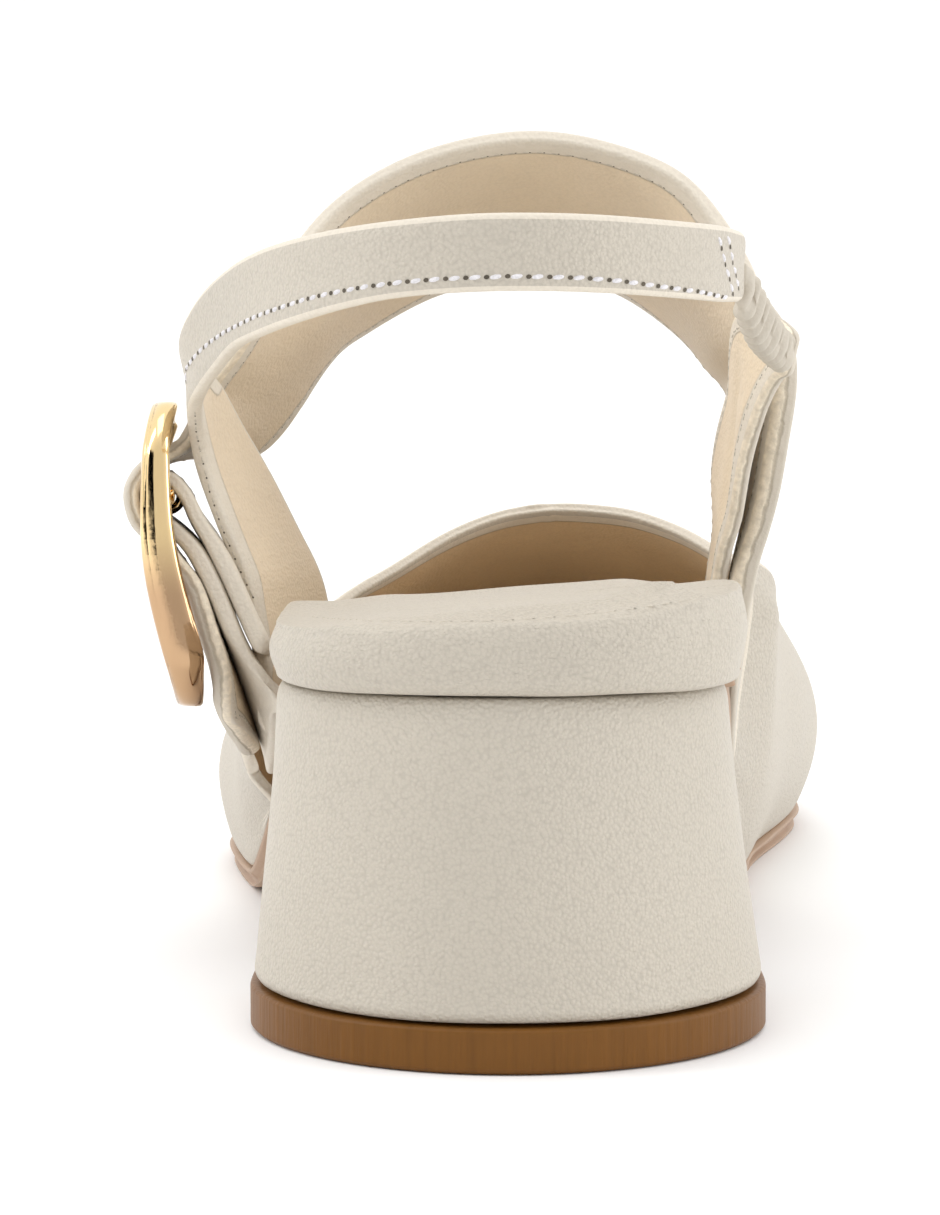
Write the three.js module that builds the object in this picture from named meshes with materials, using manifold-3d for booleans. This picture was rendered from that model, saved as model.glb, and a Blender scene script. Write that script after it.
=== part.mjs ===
// A left slingback shoe on a block heel, with a closed-toe vamp and a wide instep strap that is
// buckled on the outer side. Millimetres, +Z up, +Y towards the toe, +X to the inner (medial) side.
// The origin is on the floor under the middle of the heel's tread.
//
// Tables hold places as shares of the shoe's own sizes: "across" columns (names that end in X) are
// shares of halfSpan, "along" columns (Y) are shares of shoeLength from the back of the heel, and
// "up" columns (Z) are shares of slingHeight.

import * as THREE from "three";
import { mergeVertices } from "three/addons/utils/BufferGeometryUtils.js";
import Module from "manifold-3d";

// Driving sizes of the shoe
const shoeLength = 240;
const ballWidth = 83.3;
const slingHeight = 100;
const seatHeight = 46;
const clearance = 0.3;
const edgeRounding = 0.3;

// Soles
const outsoleThickness = 3;
const toeSpring = 6.5;
const soleMargin = 1;
const seatSlope = 0.05;
const rimWidth = 59.2;
const rimHeight = 9.4;
const rimRoll = 0.07;
const waistThickness = 6.5;
const insoleThickness = 3.6;
const insoleDish = 1.2;

// Block heel
const heelTopWidth = 55.8;
const heelBottomWidth = 64;
const heelTopDepth = 51.5;
const heelBottomDepth = 50;
const heelTopSetback = 1.4;
const heelShift = -0.7;
const heelLean = -0.8;
const topPieceThickness = 5.7;
const topPieceMargin = 0.5;
const breastHollow = 3;

// Leather
const vampWall = 1.7;
const instepStrapWall = 2;
const slingWall = 2;
const quarterWall = 2;
const chapeWall = 1.8;
const elasticWall = 1.8;

// Buckle
const strapBuckleWidth = 30;
const strapPlay = 1;
const frameBarWidth = 3.5;
const frameCorner = 8;
const frameAboveBar = 12.4;
const frameBelowBar = 27.5;
const frameGroove = 0.6;
const barRadius = 1;
const buckleTilt = 6;
const buckleFlare = 0.06;
const prongRadius = 0.8;
const prongEyeWall = 1;
const prongSink = 0.5;
const chapeSideGap = 1;

// Places that several pieces share
const halfSpan = 0.6 * ballWidth;
const treadMiddle = heelBottomDepth / 2;
const wingStart = 0.4 * shoeLength;
const widestLateral = 0.633 * shoeLength;
const widestMedial = 0.775 * shoeLength;
const heelTurn = 0.12 * shoeLength;
const toeTurn = 0.78 * shoeLength;

const creamLeather = { color: 0xe6dccb, roughness: 0.55, metalness: 0 };
const liningLeather = { color: 0xd9c4ab, roughness: 0.7, metalness: 0 };
const soleTan = { color: 0xc79a73, roughness: 0.6, metalness: 0 };
const topPieceBrown = { color: 0x8a6239, roughness: 0.65, metalness: 0 };
const buckleGold = { color: 0xe8c88a, roughness: 0.2, metalness: 1 };

// A point from the distance across, the distance from the back of the heel and the height
function place(x, fromBack, z) {
  return new THREE.Vector3(x, fromBack - treadMiddle, z);
}

// A point from shares of the shoe's own sizes
function shares(acrossShare, alongShare, upShare) {
  return place(acrossShare * halfSpan, alongShare * shoeLength, upShare * slingHeight);
}

// Reads a table between its rows with a smooth curve, by the "at" column where there is one,
// and otherwise by the row number as a share from 0 to 1
function tableCurve(rows) {
  const last = rows.length - 1;
  const keys = rows.map((row, i) => (row.at === undefined ? i / last : row.at));
  const names = Object.keys(rows[0]).filter((name) => name !== "at");
  const slopes = {};
  for (const name of names) {
    slopes[name] = rows.map((row, i) => {
      const before = Math.max(i - 1, 0);
      const after = Math.min(i + 1, last);
      return (rows[after][name] - rows[before][name]) / (keys[after] - keys[before]);
    });
  }
  return (key) => {
    const inside = THREE.MathUtils.clamp(key, keys[0], keys[last]);
    let i = 0;
    while (i < last - 1 && inside > keys[i + 1]) i += 1;
    const span = keys[i + 1] - keys[i];
    const t = (inside - keys[i]) / span;
    const row = {};
    for (const name of names) {
      const a = rows[i][name];
      const b = rows[i + 1][name];
      const slopeA = slopes[name][i] * span;
      const slopeB = slopes[name][i + 1] * span;
      const rise = b - a;
      row[name] = a + t * (slopeA + t * (3 * rise - 2 * slopeA - slopeB + t * (slopeA + slopeB - 2 * rise)));
    }
    return row;
  };
}

// Shares from 0 to 1, in equal steps
function steps(count) {
  return Array.from({ length: count + 1 }, (_, i) => i / count);
}

// Builds a geometry from points and faces of point numbers (three or four corners each)
function geometryOf(points, faces) {
  const index = [];
  for (const face of faces) {
    for (let k = 2; k < face.length; k += 1) index.push(face[0], face[k - 1], face[k]);
  }
  const geometry = new THREE.BufferGeometry();
  const numbers = points.flatMap((p) => p.toArray());
  geometry.setAttribute("position", new THREE.Float32BufferAttribute(numbers, 3));
  geometry.setIndex(index);
  return geometry;
}

// A sheet of leather: pointAt(u, v) is its reference surface, and the wall lies between the
// offsets outer and inner along the surface's normal. Its edges are rounded by an extra row.
function sheetSolid(pointAt, { along, across, outer, inner, us = steps(along), vs = steps(across) }) {
  const grid = us.map((u) => vs.map((v) => pointAt(u, v)));
  const rows = us.length - 1;
  const columns = vs.length - 1;
  const normals = grid.map((row, i) =>
    row.map((_, j) => {
      const du = grid[Math.min(i + 1, rows)][j].clone().sub(grid[Math.max(i - 1, 0)][j]);
      const dv = row[Math.min(j + 1, columns)].clone().sub(row[Math.max(j - 1, 0)]);
      return du.cross(dv).normalize();
    }),
  );
  const points = [];
  const moved = (p, i, j, offset) => p.clone().addScaledVector(normals[i][j], offset);
  const layer = (offset) => grid.map((row, i) => row.map((p, j) => points.push(moved(p, i, j, offset)) - 1));
  const top = layer(outer);
  const bottom = layer(inner);
  const faces = [];
  for (let i = 0; i < rows; i += 1) {
    for (let j = 0; j < columns; j += 1) {
      faces.push([top[i][j], top[i + 1][j], top[i + 1][j + 1], top[i][j + 1]]);
      faces.push([bottom[i][j], bottom[i][j + 1], bottom[i + 1][j + 1], bottom[i + 1][j]]);
    }
  }
  const rim = [];
  for (let i = 0; i < rows; i += 1) rim.push([i, 0]);
  for (let j = 0; j < columns; j += 1) rim.push([rows, j]);
  for (let i = rows; i > 0; i -= 1) rim.push([i, columns]);
  for (let j = columns; j > 0; j -= 1) rim.push([0, j]);
  const middle = rim.map(([i, j]) => {
    const inward = grid[THREE.MathUtils.clamp(i, 1, rows - 1)][THREE.MathUtils.clamp(j, 1, columns - 1)];
    const away = grid[i][j].clone().sub(inward);
    away.addScaledVector(normals[i][j], -away.dot(normals[i][j])).normalize();
    const centre = grid[i][j].clone().addScaledVector(normals[i][j], (outer + inner) / 2);
    return points.push(centre.addScaledVector(away, (outer - inner) * edgeRounding)) - 1;
  });
  rim.forEach(([i, j], k) => {
    const [nextI, nextJ] = rim[(k + 1) % rim.length];
    const nextMiddle = middle[(k + 1) % rim.length];
    faces.push([top[i][j], middle[k], nextMiddle, top[nextI][nextJ]]);
    faces.push([middle[k], bottom[i][j], bottom[nextI][nextJ], nextMiddle]);
  });
  return geometryOf(points, faces);
}

// A strap from a table: its back edge (backX, backY, backZ), its front edge (frontX, frontY,
// frontZ) and its crown between them, with half its wall on each side
function strapSolid(pointsAt, { wall, along, across }) {
  const pointAt = (u, v) => {
    const { back, front, crown } = pointsAt(u);
    const point = back.clone().lerp(front, v);
    const next = pointsAt(Math.min(u + 0.01, 1));
    const last = pointsAt(Math.max(u - 0.01, 0));
    const run = next.back.clone().lerp(next.front, v).sub(last.back.clone().lerp(last.front, v));
    const normal = run.cross(front.clone().sub(back)).normalize();
    return point.addScaledVector(normal, crown * 4 * v * (1 - v));
  };
  return sheetSolid(pointAt, { along, across, outer: wall / 2, inner: -wall / 2 });
}

// Joins closed loops of equal length into a solid; the ends are closed by fans
function loftSolid(loops) {
  const points = loops.flat();
  const count = loops[0].length;
  const faces = [];
  for (let level = 0; level + 1 < loops.length; level += 1) {
    for (let k = 0; k < count; k += 1) {
      const a = level * count + k;
      const b = level * count + ((k + 1) % count);
      faces.push([a, b, b + count, a + count]);
    }
  }
  const middleOf = (loop) => loop.reduce((sum, p) => sum.add(p), new THREE.Vector3()).divideScalar(count);
  const lowest = points.push(middleOf(loops[0])) - 1;
  const highest = points.push(middleOf(loops[loops.length - 1])) - 1;
  const top = (loops.length - 1) * count;
  for (let k = 0; k < count; k += 1) {
    faces.push([lowest, (k + 1) % count, k]);
    faces.push([highest, top + k, top + ((k + 1) % count)]);
  }
  return geometryOf(points, faces);
}

// Joins closed loops into a ring, with no ends
function ringSolid(loops) {
  const points = loops.flat();
  const count = loops[0].length;
  const faces = [];
  loops.forEach((_, level) => {
    const next = (level + 1) % loops.length;
    for (let k = 0; k < count; k += 1) {
      const k2 = (k + 1) % count;
      faces.push([level * count + k, level * count + k2, next * count + k2, next * count + k]);
    }
  });
  return geometryOf(points, faces);
}

// A round bar along a list of points
function barSolid(path, radius, sides = 10) {
  const loops = path.map((point, i) => {
    const ahead = path[Math.min(i + 1, path.length - 1)].clone().sub(path[Math.max(i - 1, 0)]).normalize();
    const side = new THREE.Vector3(0, 1, 0.3).cross(ahead).normalize();
    if (side.lengthSq() < 0.5) side.set(1, 0, 0);
    const up = ahead.clone().cross(side);
    return steps(sides)
      .slice(0, sides)
      .map((turn) => {
        const angle = turn * 2 * Math.PI;
        return point
          .clone()
          .addScaledVector(side, Math.cos(angle) * radius)
          .addScaledVector(up, Math.sin(angle) * radius);
      });
  });
  return loftSolid(loops);
}

const manifold = await Module();
manifold.setup();

// A closed geometry as a solid that can be joined and cut
function solidOf(geometry) {
  const bare = geometry.clone();
  bare.deleteAttribute("normal");
  bare.deleteAttribute("uv");
  const merged = mergeVertices(bare, 1e-4);
  return new manifold.Manifold(
    new manifold.Mesh({
      numProp: 3,
      vertProperties: merged.attributes.position.array,
      triVerts: new Uint32Array(merged.index.array),
    }),
  );
}

// A joined or cut solid as a geometry again
function geometryFrom(solid) {
  const mesh = solid.getMesh();
  const geometry = new THREE.BufferGeometry();
  geometry.setAttribute("position", new THREE.BufferAttribute(mesh.vertProperties, mesh.numProp));
  geometry.setIndex(new THREE.BufferAttribute(mesh.triVerts, 1));
  return geometry;
}

// Sole edge on each side, from the heel breast to where the toe's arcs take over
const soleEdge = tableCurve([
  { at: 0.2, lateralX: -0.56, medialX: 0.53 },
  { at: 0.27, lateralX: -0.575, medialX: 0.55 },
  { at: 0.33, lateralX: -0.592, medialX: 0.565 },
  { at: 0.4, lateralX: -0.65, medialX: 0.59 },
  { at: 0.46, lateralX: -0.7, medialX: 0.622 },
  { at: 0.53, lateralX: -0.746, medialX: 0.645 },
  { at: 0.583, lateralX: -0.79, medialX: 0.67 },
  { at: 0.633, lateralX: -0.812, medialX: 0.718 },
  { at: 0.69, lateralX: -0.812, medialX: 0.79 },
  { at: 0.74, lateralX: -0.812, medialX: 0.838 },
  { at: 0.775, lateralX: -0.812, medialX: 0.845 },
  { at: 1, lateralX: -0.812, medialX: 0.845 },
]);
const toeTipX = 0.225;

function soleEdgeX(side, fromBack) {
  const row = soleEdge(fromBack / shoeLength);
  const widest = side < 0 ? widestLateral : widestMedial;
  const edge = (side < 0 ? row.lateralX : row.medialX) * halfSpan;
  if (fromBack <= widest) return edge;
  const roundness = side < 0 ? 1.6 : 2;
  const share = Math.min((fromBack - widest) / (shoeLength - widest), 1);
  const tip = toeTipX * halfSpan;
  return tip + (edge - tip) * (1 - share ** roundness) ** (1 / 1.85);
}

// Height of the outsole's underside along the shoe: arch, flat tread and toe spring
const underside = tableCurve([
  { at: 0, upShare: 0.93 },
  { at: 0.217, upShare: 0.868 },
  { at: 0.292, upShare: 0.69 },
  { at: 0.354, upShare: 0.46 },
  { at: 0.417, upShare: 0.235 },
  { at: 0.467, upShare: 0.088 },
  { at: 0.508, upShare: 0.018 },
  { at: 0.542, upShare: 0 },
  { at: 0.58, upShare: 0 },
]);
const springStart = 0.76 * shoeLength;

function undersideZ(fromBack) {
  const arch = Math.max(underside(fromBack / shoeLength).upShare, 0) * seatHeight;
  const spring = Math.max(fromBack - springStart, 0) / (shoeLength - springStart);
  return arch + toeSpring * spring ** 2;
}

function outsoleTopZ(fromBack) {
  return undersideZ(fromBack) + outsoleThickness;
}

// Underside of the footbed: on the heel's seat at the back, and on the outsole in front of it
const seatEnd = heelTopDepth;

function footbedUndersideZ(fromBack) {
  if (fromBack <= seatEnd) return seatHeight - seatSlope * fromBack;
  const blend = THREE.MathUtils.smoothstep(fromBack, seatEnd, seatEnd + 0.06 * shoeLength);
  const seat = seatHeight - seatSlope * fromBack;
  const onSole = outsoleTopZ(fromBack) + clearance;
  return THREE.MathUtils.lerp(Math.max(seat, onSole), onSole, blend);
}

const footbedThickness = tableCurve([
  { at: 0, thickness: rimHeight, roll: 1 },
  { at: 0.16, thickness: rimHeight, roll: 1 },
  { at: 0.24, thickness: 0.9 * rimHeight, roll: 0.6 },
  { at: 0.34, thickness: waistThickness, roll: 0.2 },
  { at: 0.44, thickness: (waistThickness + insoleThickness) / 2, roll: 0 },
  { at: 0.52, thickness: insoleThickness, roll: 0 },
  { at: 1, thickness: insoleThickness, roll: 0 },
]);

// Plan stations from the back to the toe, closer together where the outline turns
function planStations(start, end, backTurn, toeTurn, counts) {
  const quarterTurn = Math.PI / 2;
  const back = steps(counts.back).map((s) => start + (backTurn - start) * (1 - Math.cos(s * quarterTurn)));
  const middle = steps(counts.middle).map((s) => THREE.MathUtils.lerp(backTurn, toeTurn, s));
  const toe = steps(counts.toe).map((s) => toeTurn + (end - toeTurn) * Math.sin(s * quarterTurn));
  return [...back, ...middle.slice(1), ...toe.slice(1)];
}

// A plate whose outline is given by matching points on both sides: lateral and medial are lists of
// plan points from the back to the toe, profile rows go from the lower edge up to the upper edge
function plateSolid({ lateral, medial, profile, lowerZ, upperZ, across, dish }) {
  const count = lateral.length;
  const outline = [...medial, ...lateral.slice(1, -1).reverse()];
  const loopSize = outline.length;
  const inwardAt = outline.map((_, i) => {
    const a = outline[(i + loopSize - 1) % loopSize];
    const b = outline[(i + 1) % loopSize];
    const run = b.clone().sub(a).normalize();
    return new THREE.Vector2(-run.y, run.x);
  });
  const points = [];
  const faces = [];
  const loops = profile.map(({ inset, rise }) =>
    outline.map((p, i) => {
      const q = p.clone().addScaledVector(inwardAt[i], inset);
      const z = THREE.MathUtils.lerp(lowerZ(q.y), upperZ(q.y, q.x), rise);
      return points.push(place(q.x, q.y, z)) - 1;
    }),
  );
  for (let level = 0; level + 1 < loops.length; level += 1) {
    for (let k = 0; k < loopSize; k += 1) {
      const k2 = (k + 1) % loopSize;
      faces.push([loops[level][k], loops[level][k2], loops[level + 1][k2], loops[level + 1][k]]);
    }
  }
  const cap = (loop, sink, upward) => {
    const rows = [];
    for (let i = 1; i < count - 1; i += 1) {
      const right = points[loop[i]];
      const left = points[loop[loopSize - i]];
      const row = [loop[i]];
      for (let j = 1; j < across; j += 1) {
        const share = j / across;
        const point = right.clone().lerp(left, share);
        point.z -= sink * 4 * share * (1 - share);
        row.push(points.push(point) - 1);
      }
      row.push(loop[loopSize - i]);
      rows.push(row);
    }
    for (let i = 0; i + 1 < rows.length; i += 1) {
      for (let j = 0; j < across; j += 1) {
        const quad = [rows[i][j], rows[i + 1][j], rows[i + 1][j + 1], rows[i][j + 1]];
        faces.push(upward ? quad : quad.reverse());
      }
    }
    const fan = (tip, row) => {
      for (let j = 0; j < across; j += 1) {
        if (upward) faces.push([tip, row[j], row[j + 1]]);
        else faces.push([tip, row[j + 1], row[j]]);
      }
    };
    fan(loop[0], rows[0]);
    fan(loop[count - 1], [...rows[rows.length - 1]].reverse());
  };
  cap(loops[0], 0, false);
  cap(loops[loops.length - 1], dish, true);
  return geometryOf(points, faces);
}

function outsoleGeometry() {
  const start = heelTopDepth + clearance + 0.5;
  const counts = { back: 2, middle: 15, toe: 11 };
  const stations = planStations(start, shoeLength, start + 4, toeTurn, counts);
  const sidePoints = (side) =>
    stations.map((y, i) => new THREE.Vector2(i === 0 ? side * 6 : soleEdgeX(side, y), y));
  const lateral = sidePoints(-1);
  const medial = sidePoints(1);
  const backPoint = new THREE.Vector2(0, start);
  return plateSolid({
    lateral: [backPoint, ...lateral],
    medial: [backPoint, ...medial],
    profile: [
      { inset: 1.2, rise: 0 },
      { inset: 0.3, rise: 0.25 },
      { inset: 0, rise: 0.6 },
      { inset: 0.3, rise: 1 },
    ],
    lowerZ: undersideZ,
    upperZ: outsoleTopZ,
    across: 4,
    dish: 0,
  });
}

// Plan of the footbed: the wrapped rim at the heel, narrow at the waist where the straps come down
// beside it, and inside the vamp's wall in front
const footbedEdge = tableCurve([
  { at: 0.12, lateralShare: -1, medialShare: 1 },
  { at: 0.2, lateralShare: -0.985, medialShare: 0.985 },
  { at: 0.25, lateralShare: -0.945, medialShare: 0.92 },
  { at: 0.29, lateralShare: -0.905, medialShare: 0.84 },
  { at: 0.35, lateralShare: -0.89, medialShare: 0.82 },
  { at: 0.4, lateralShare: -0.93, medialShare: 0.82 },
  { at: 0.44, lateralShare: -1, medialShare: 0.86 },
]);
const footbedFront = 0.44 * shoeLength;
const footbedInset = soleMargin + vampWall + 2 * clearance;

function footbedEdgeX(side, fromBack) {
  const shift = heelShift * (1 - THREE.MathUtils.smoothstep(fromBack, 0.2 * shoeLength, footbedFront));
  const half = rimWidth / 2;
  if (fromBack < heelTurn) {
    const share = (heelTurn - fromBack) / (heelTurn + 0.5);
    return shift + side * half * Math.max(1 - share ** 2.4, 0) ** (1 / 2.4);
  }
  const row = footbedEdge(fromBack / shoeLength);
  const waist = (side < 0 ? row.lateralShare : row.medialShare) * half;
  const inVamp = soleEdgeX(side, fromBack) - side * footbedInset;
  const blend = THREE.MathUtils.smoothstep(fromBack, footbedFront - 6, footbedFront + 12);
  return THREE.MathUtils.lerp(shift + waist, inVamp, blend);
}

function footbedGeometry() {
  const end = shoeLength - footbedInset - 1;
  const counts = { back: 9, middle: 18, toe: 8 };
  const stations = planStations(-0.5, end, heelTurn, toeTurn, counts);
  const sidePoints = (side) =>
    stations.map((y, i) => {
      if (i === 0) return new THREE.Vector2(heelShift, y);
      const reach = shoeLength - footbedInset;
      const alongToe = Math.max(y - toeTurn, 0) / (end - toeTurn);
      const edge = footbedEdgeX(side, Math.min(y + alongToe * (shoeLength - reach), shoeLength - 0.2));
      if (i < stations.length - 1) return new THREE.Vector2(edge, y);
      return new THREE.Vector2(toeTipX * halfSpan, y);
    });
  return plateSolid({
    lateral: sidePoints(-1),
    medial: sidePoints(1),
    profile: [
      { inset: 2.6, rise: 0 },
      { inset: 0.9, rise: 0.1 },
      { inset: 0, rise: 0.4 },
      { inset: 0.1, rise: 0.7 },
      { inset: 0.9, rise: 0.93 },
      { inset: 2.4, rise: 1 },
    ],
    lowerZ: footbedUndersideZ,
    upperZ: (y, x) => {
      const row = footbedThickness(y / shoeLength);
      return footbedUndersideZ(y) + row.thickness + rimRoll * row.roll * x;
    },
    across: 5,
    dish: insoleDish,
  });
}

// Outline of the block heel at one height: a round back, sides that run in, and a hollow breast
function heelLoop(middle, width, back, depth, zAt) {
  const half = width / 2;
  const corner = 3;
  const breast = back + depth;
  const loop = [];
  const backSteps = 20;
  for (let i = 0; i <= backSteps; i += 1) {
    const angle = Math.PI + (i / backSteps) * Math.PI;
    loop.push([half * Math.cos(angle), back + half + half * Math.sin(angle)]);
  }
  loop.push([half - 0.4, (back + half + breast) / 2]);
  loop.push([half - 1, breast - corner]);
  loop.push([half - corner, breast]);
  for (const share of [0.6, 0.2, -0.2, -0.6]) {
    loop.push([share * half, breast - breastHollow * (1 - share * share)]);
  }
  loop.push([-half + corner, breast]);
  loop.push([-half + 1, breast - corner]);
  loop.push([-half + 0.4, (back + half + breast) / 2]);
  return loop.map(([x, y]) => place(middle + x, y, zAt(y)));
}

function heelBlockGeometry() {
  const low = topPieceThickness + clearance;
  const levels = [
    { rise: 0, grow: -0.8 },
    { rise: 0.03, grow: 0 },
    { rise: 0.35, grow: -0.1 },
    { rise: 0.7, grow: -0.3 },
    { rise: 0.97, grow: 0 },
    { rise: 1, grow: -0.8 },
  ];
  const loops = levels.map(({ rise, grow }) => {
    const width = THREE.MathUtils.lerp(heelBottomWidth, heelTopWidth, rise) + 2 * grow;
    const back = THREE.MathUtils.lerp(0, heelTopSetback, rise) - grow;
    const depth = THREE.MathUtils.lerp(heelBottomDepth, heelTopDepth - heelTopSetback, rise) + 2 * grow;
    return heelLoop(heelShift + heelLean * rise, width, back, depth, (y) =>
      THREE.MathUtils.lerp(low, footbedUndersideZ(y) - clearance, rise),
    );
  });
  return loftSolid(loops);
}

function heelTopPieceGeometry() {
  const levels = [
    { z: 0, grow: -0.6 },
    { z: 0.6, grow: 0 },
    { z: topPieceThickness - 0.4, grow: 0 },
    { z: topPieceThickness, grow: -0.4 },
  ];
  const loops = levels.map(({ z, grow }) => {
    const margin = topPieceMargin + grow;
    const width = heelBottomWidth + 2 * margin;
    return heelLoop(heelShift, width, -margin, heelBottomDepth + 2 * margin, () => z);
  });
  return loftSolid(loops);
}

// The vamp's wall: each rib goes from the sole's edge up over the last to the collar. "at" runs
// round the shoe from the lateral end (-1) over the toe (0) to the medial end (1).
const vampCollar = tableCurve([
  { at: -1, collarX: -0.698, collarY: 0.395, collarZ: 0.225 },
  { at: -0.9, collarX: -0.735, collarY: 0.452, collarZ: 0.262 },
  { at: -0.75, collarX: -0.62, collarY: 0.508, collarZ: 0.345 },
  { at: -0.6, collarX: -0.48, collarY: 0.55, collarZ: 0.4 },
  { at: -0.45, collarX: -0.335, collarY: 0.575, collarZ: 0.438 },
  { at: -0.3, collarX: -0.18, collarY: 0.597, collarZ: 0.479 },
  { at: -0.15, collarX: -0.035, collarY: 0.61, collarZ: 0.504 },
  { at: 0, collarX: 0.1, collarY: 0.615, collarZ: 0.513 },
  { at: 0.15, collarX: 0.225, collarY: 0.611, collarZ: 0.513 },
  { at: 0.3, collarX: 0.35, collarY: 0.6, collarZ: 0.507 },
  { at: 0.45, collarX: 0.478, collarY: 0.58, collarZ: 0.489 },
  { at: 0.6, collarX: 0.588, collarY: 0.542, collarZ: 0.468 },
  { at: 0.75, collarX: 0.655, collarY: 0.492, collarZ: 0.472 },
  { at: 0.9, collarX: 0.688, collarY: 0.446, collarZ: 0.49 },
  { at: 1, collarX: 0.694, collarY: 0.4125, collarZ: 0.505 },
]);
// lowOut and lowUp shape a rib above the sole, and highRun, highOut and highDrop below the collar
const vampRibs = tableCurve([
  { at: -1, lowOut: 0, lowUp: 0.01, highRun: 0, highOut: 0, highDrop: 0.01 },
  { at: -0.9, lowOut: 0.06, lowUp: 0.08, highRun: 0.2, highOut: 0.02, highDrop: 0.07 },
  { at: -0.75, lowOut: 0.1, lowUp: 0.13, highRun: 0.3, highOut: 0.1, highDrop: 0.1 },
  { at: -0.6, lowOut: 0.1, lowUp: 0.15, highRun: 0.35, highOut: 0.1, highDrop: 0.12 },
  { at: -0.45, lowOut: 0.1, lowUp: 0.16, highRun: 0.4, highOut: 0.06, highDrop: 0.16 },
  { at: -0.3, lowOut: 0.08, lowUp: 0.16, highRun: 0.43, highOut: 0.02, highDrop: 0.21 },
  { at: -0.15, lowOut: 0.07, lowUp: 0.155, highRun: 0.45, highOut: 0, highDrop: 0.24 },
  { at: 0, lowOut: 0.07, lowUp: 0.155, highRun: 0.45, highOut: 0, highDrop: 0.25 },
  { at: 0.15, lowOut: 0.07, lowUp: 0.155, highRun: 0.45, highOut: 0, highDrop: 0.25 },
  { at: 0.3, lowOut: 0.08, lowUp: 0.165, highRun: 0.42, highOut: 0.03, highDrop: 0.22 },
  { at: 0.45, lowOut: 0.1, lowUp: 0.175, highRun: 0.38, highOut: 0.06, highDrop: 0.17 },
  { at: 0.6, lowOut: 0.17, lowUp: 0.17, highRun: 0.35, highOut: 0.08, highDrop: 0.14 },
  { at: 0.75, lowOut: 0.2, lowUp: 0.15, highRun: 0.3, highOut: 0.07, highDrop: 0.12 },
  { at: 0.9, lowOut: 0.14, lowUp: 0.12, highRun: 0.25, highOut: 0.02, highDrop: 0.13 },
  { at: 1, lowOut: 0.05, lowUp: 0.12, highRun: 0.2, highOut: 0.02, highDrop: 0.13 },
]);

// Plan point of the sole's edge, inset, from the turn "at" of the table above
function featherPoint(at) {
  const side = at < 0 ? -1 : 1;
  const reach = shoeLength - soleMargin;
  const fromBack = reach - (reach - wingStart) * (1 - Math.cos((Math.abs(at) * Math.PI) / 2));
  const onEdge = Math.min(fromBack * (shoeLength / reach), shoeLength);
  const inset = soleMargin * Math.min(1, 4 * Math.abs(at));
  const z = outsoleTopZ(fromBack) + 2 * clearance + edgeRounding * vampWall;
  return place(soleEdgeX(side, onEdge) - side * inset, fromBack, z);
}

function vampPoint(u, v) {
  const at = -1 + 2 * u;
  const rib = vampRibs(at);
  const foot = featherPoint(at);
  const before = featherPoint(Math.max(at - 0.02, -1));
  const after = featherPoint(Math.min(at + 0.02, 1));
  const outward = new THREE.Vector3(before.y - after.y, after.x - before.x, 0).normalize();
  const top = vampCollar(at);
  const collar = shares(top.collarX, top.collarY, top.collarZ);
  const low = foot.clone().addScaledVector(outward, rib.lowOut * halfSpan);
  low.z += rib.lowUp * slingHeight;
  const high = collar.clone().addScaledVector(outward, rib.highOut * halfSpan);
  high.x += rib.highRun * (foot.x - collar.x);
  high.y += rib.highRun * (foot.y - collar.y);
  high.z -= rib.highDrop * slingHeight;
  return new THREE.CubicBezierCurve3(foot, low, high, collar).getPoint(v);
}

function vampGeometry() {
  return sheetSolid(vampPoint, { along: 48, across: 13, outer: 0, inner: -vampWall });
}

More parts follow.
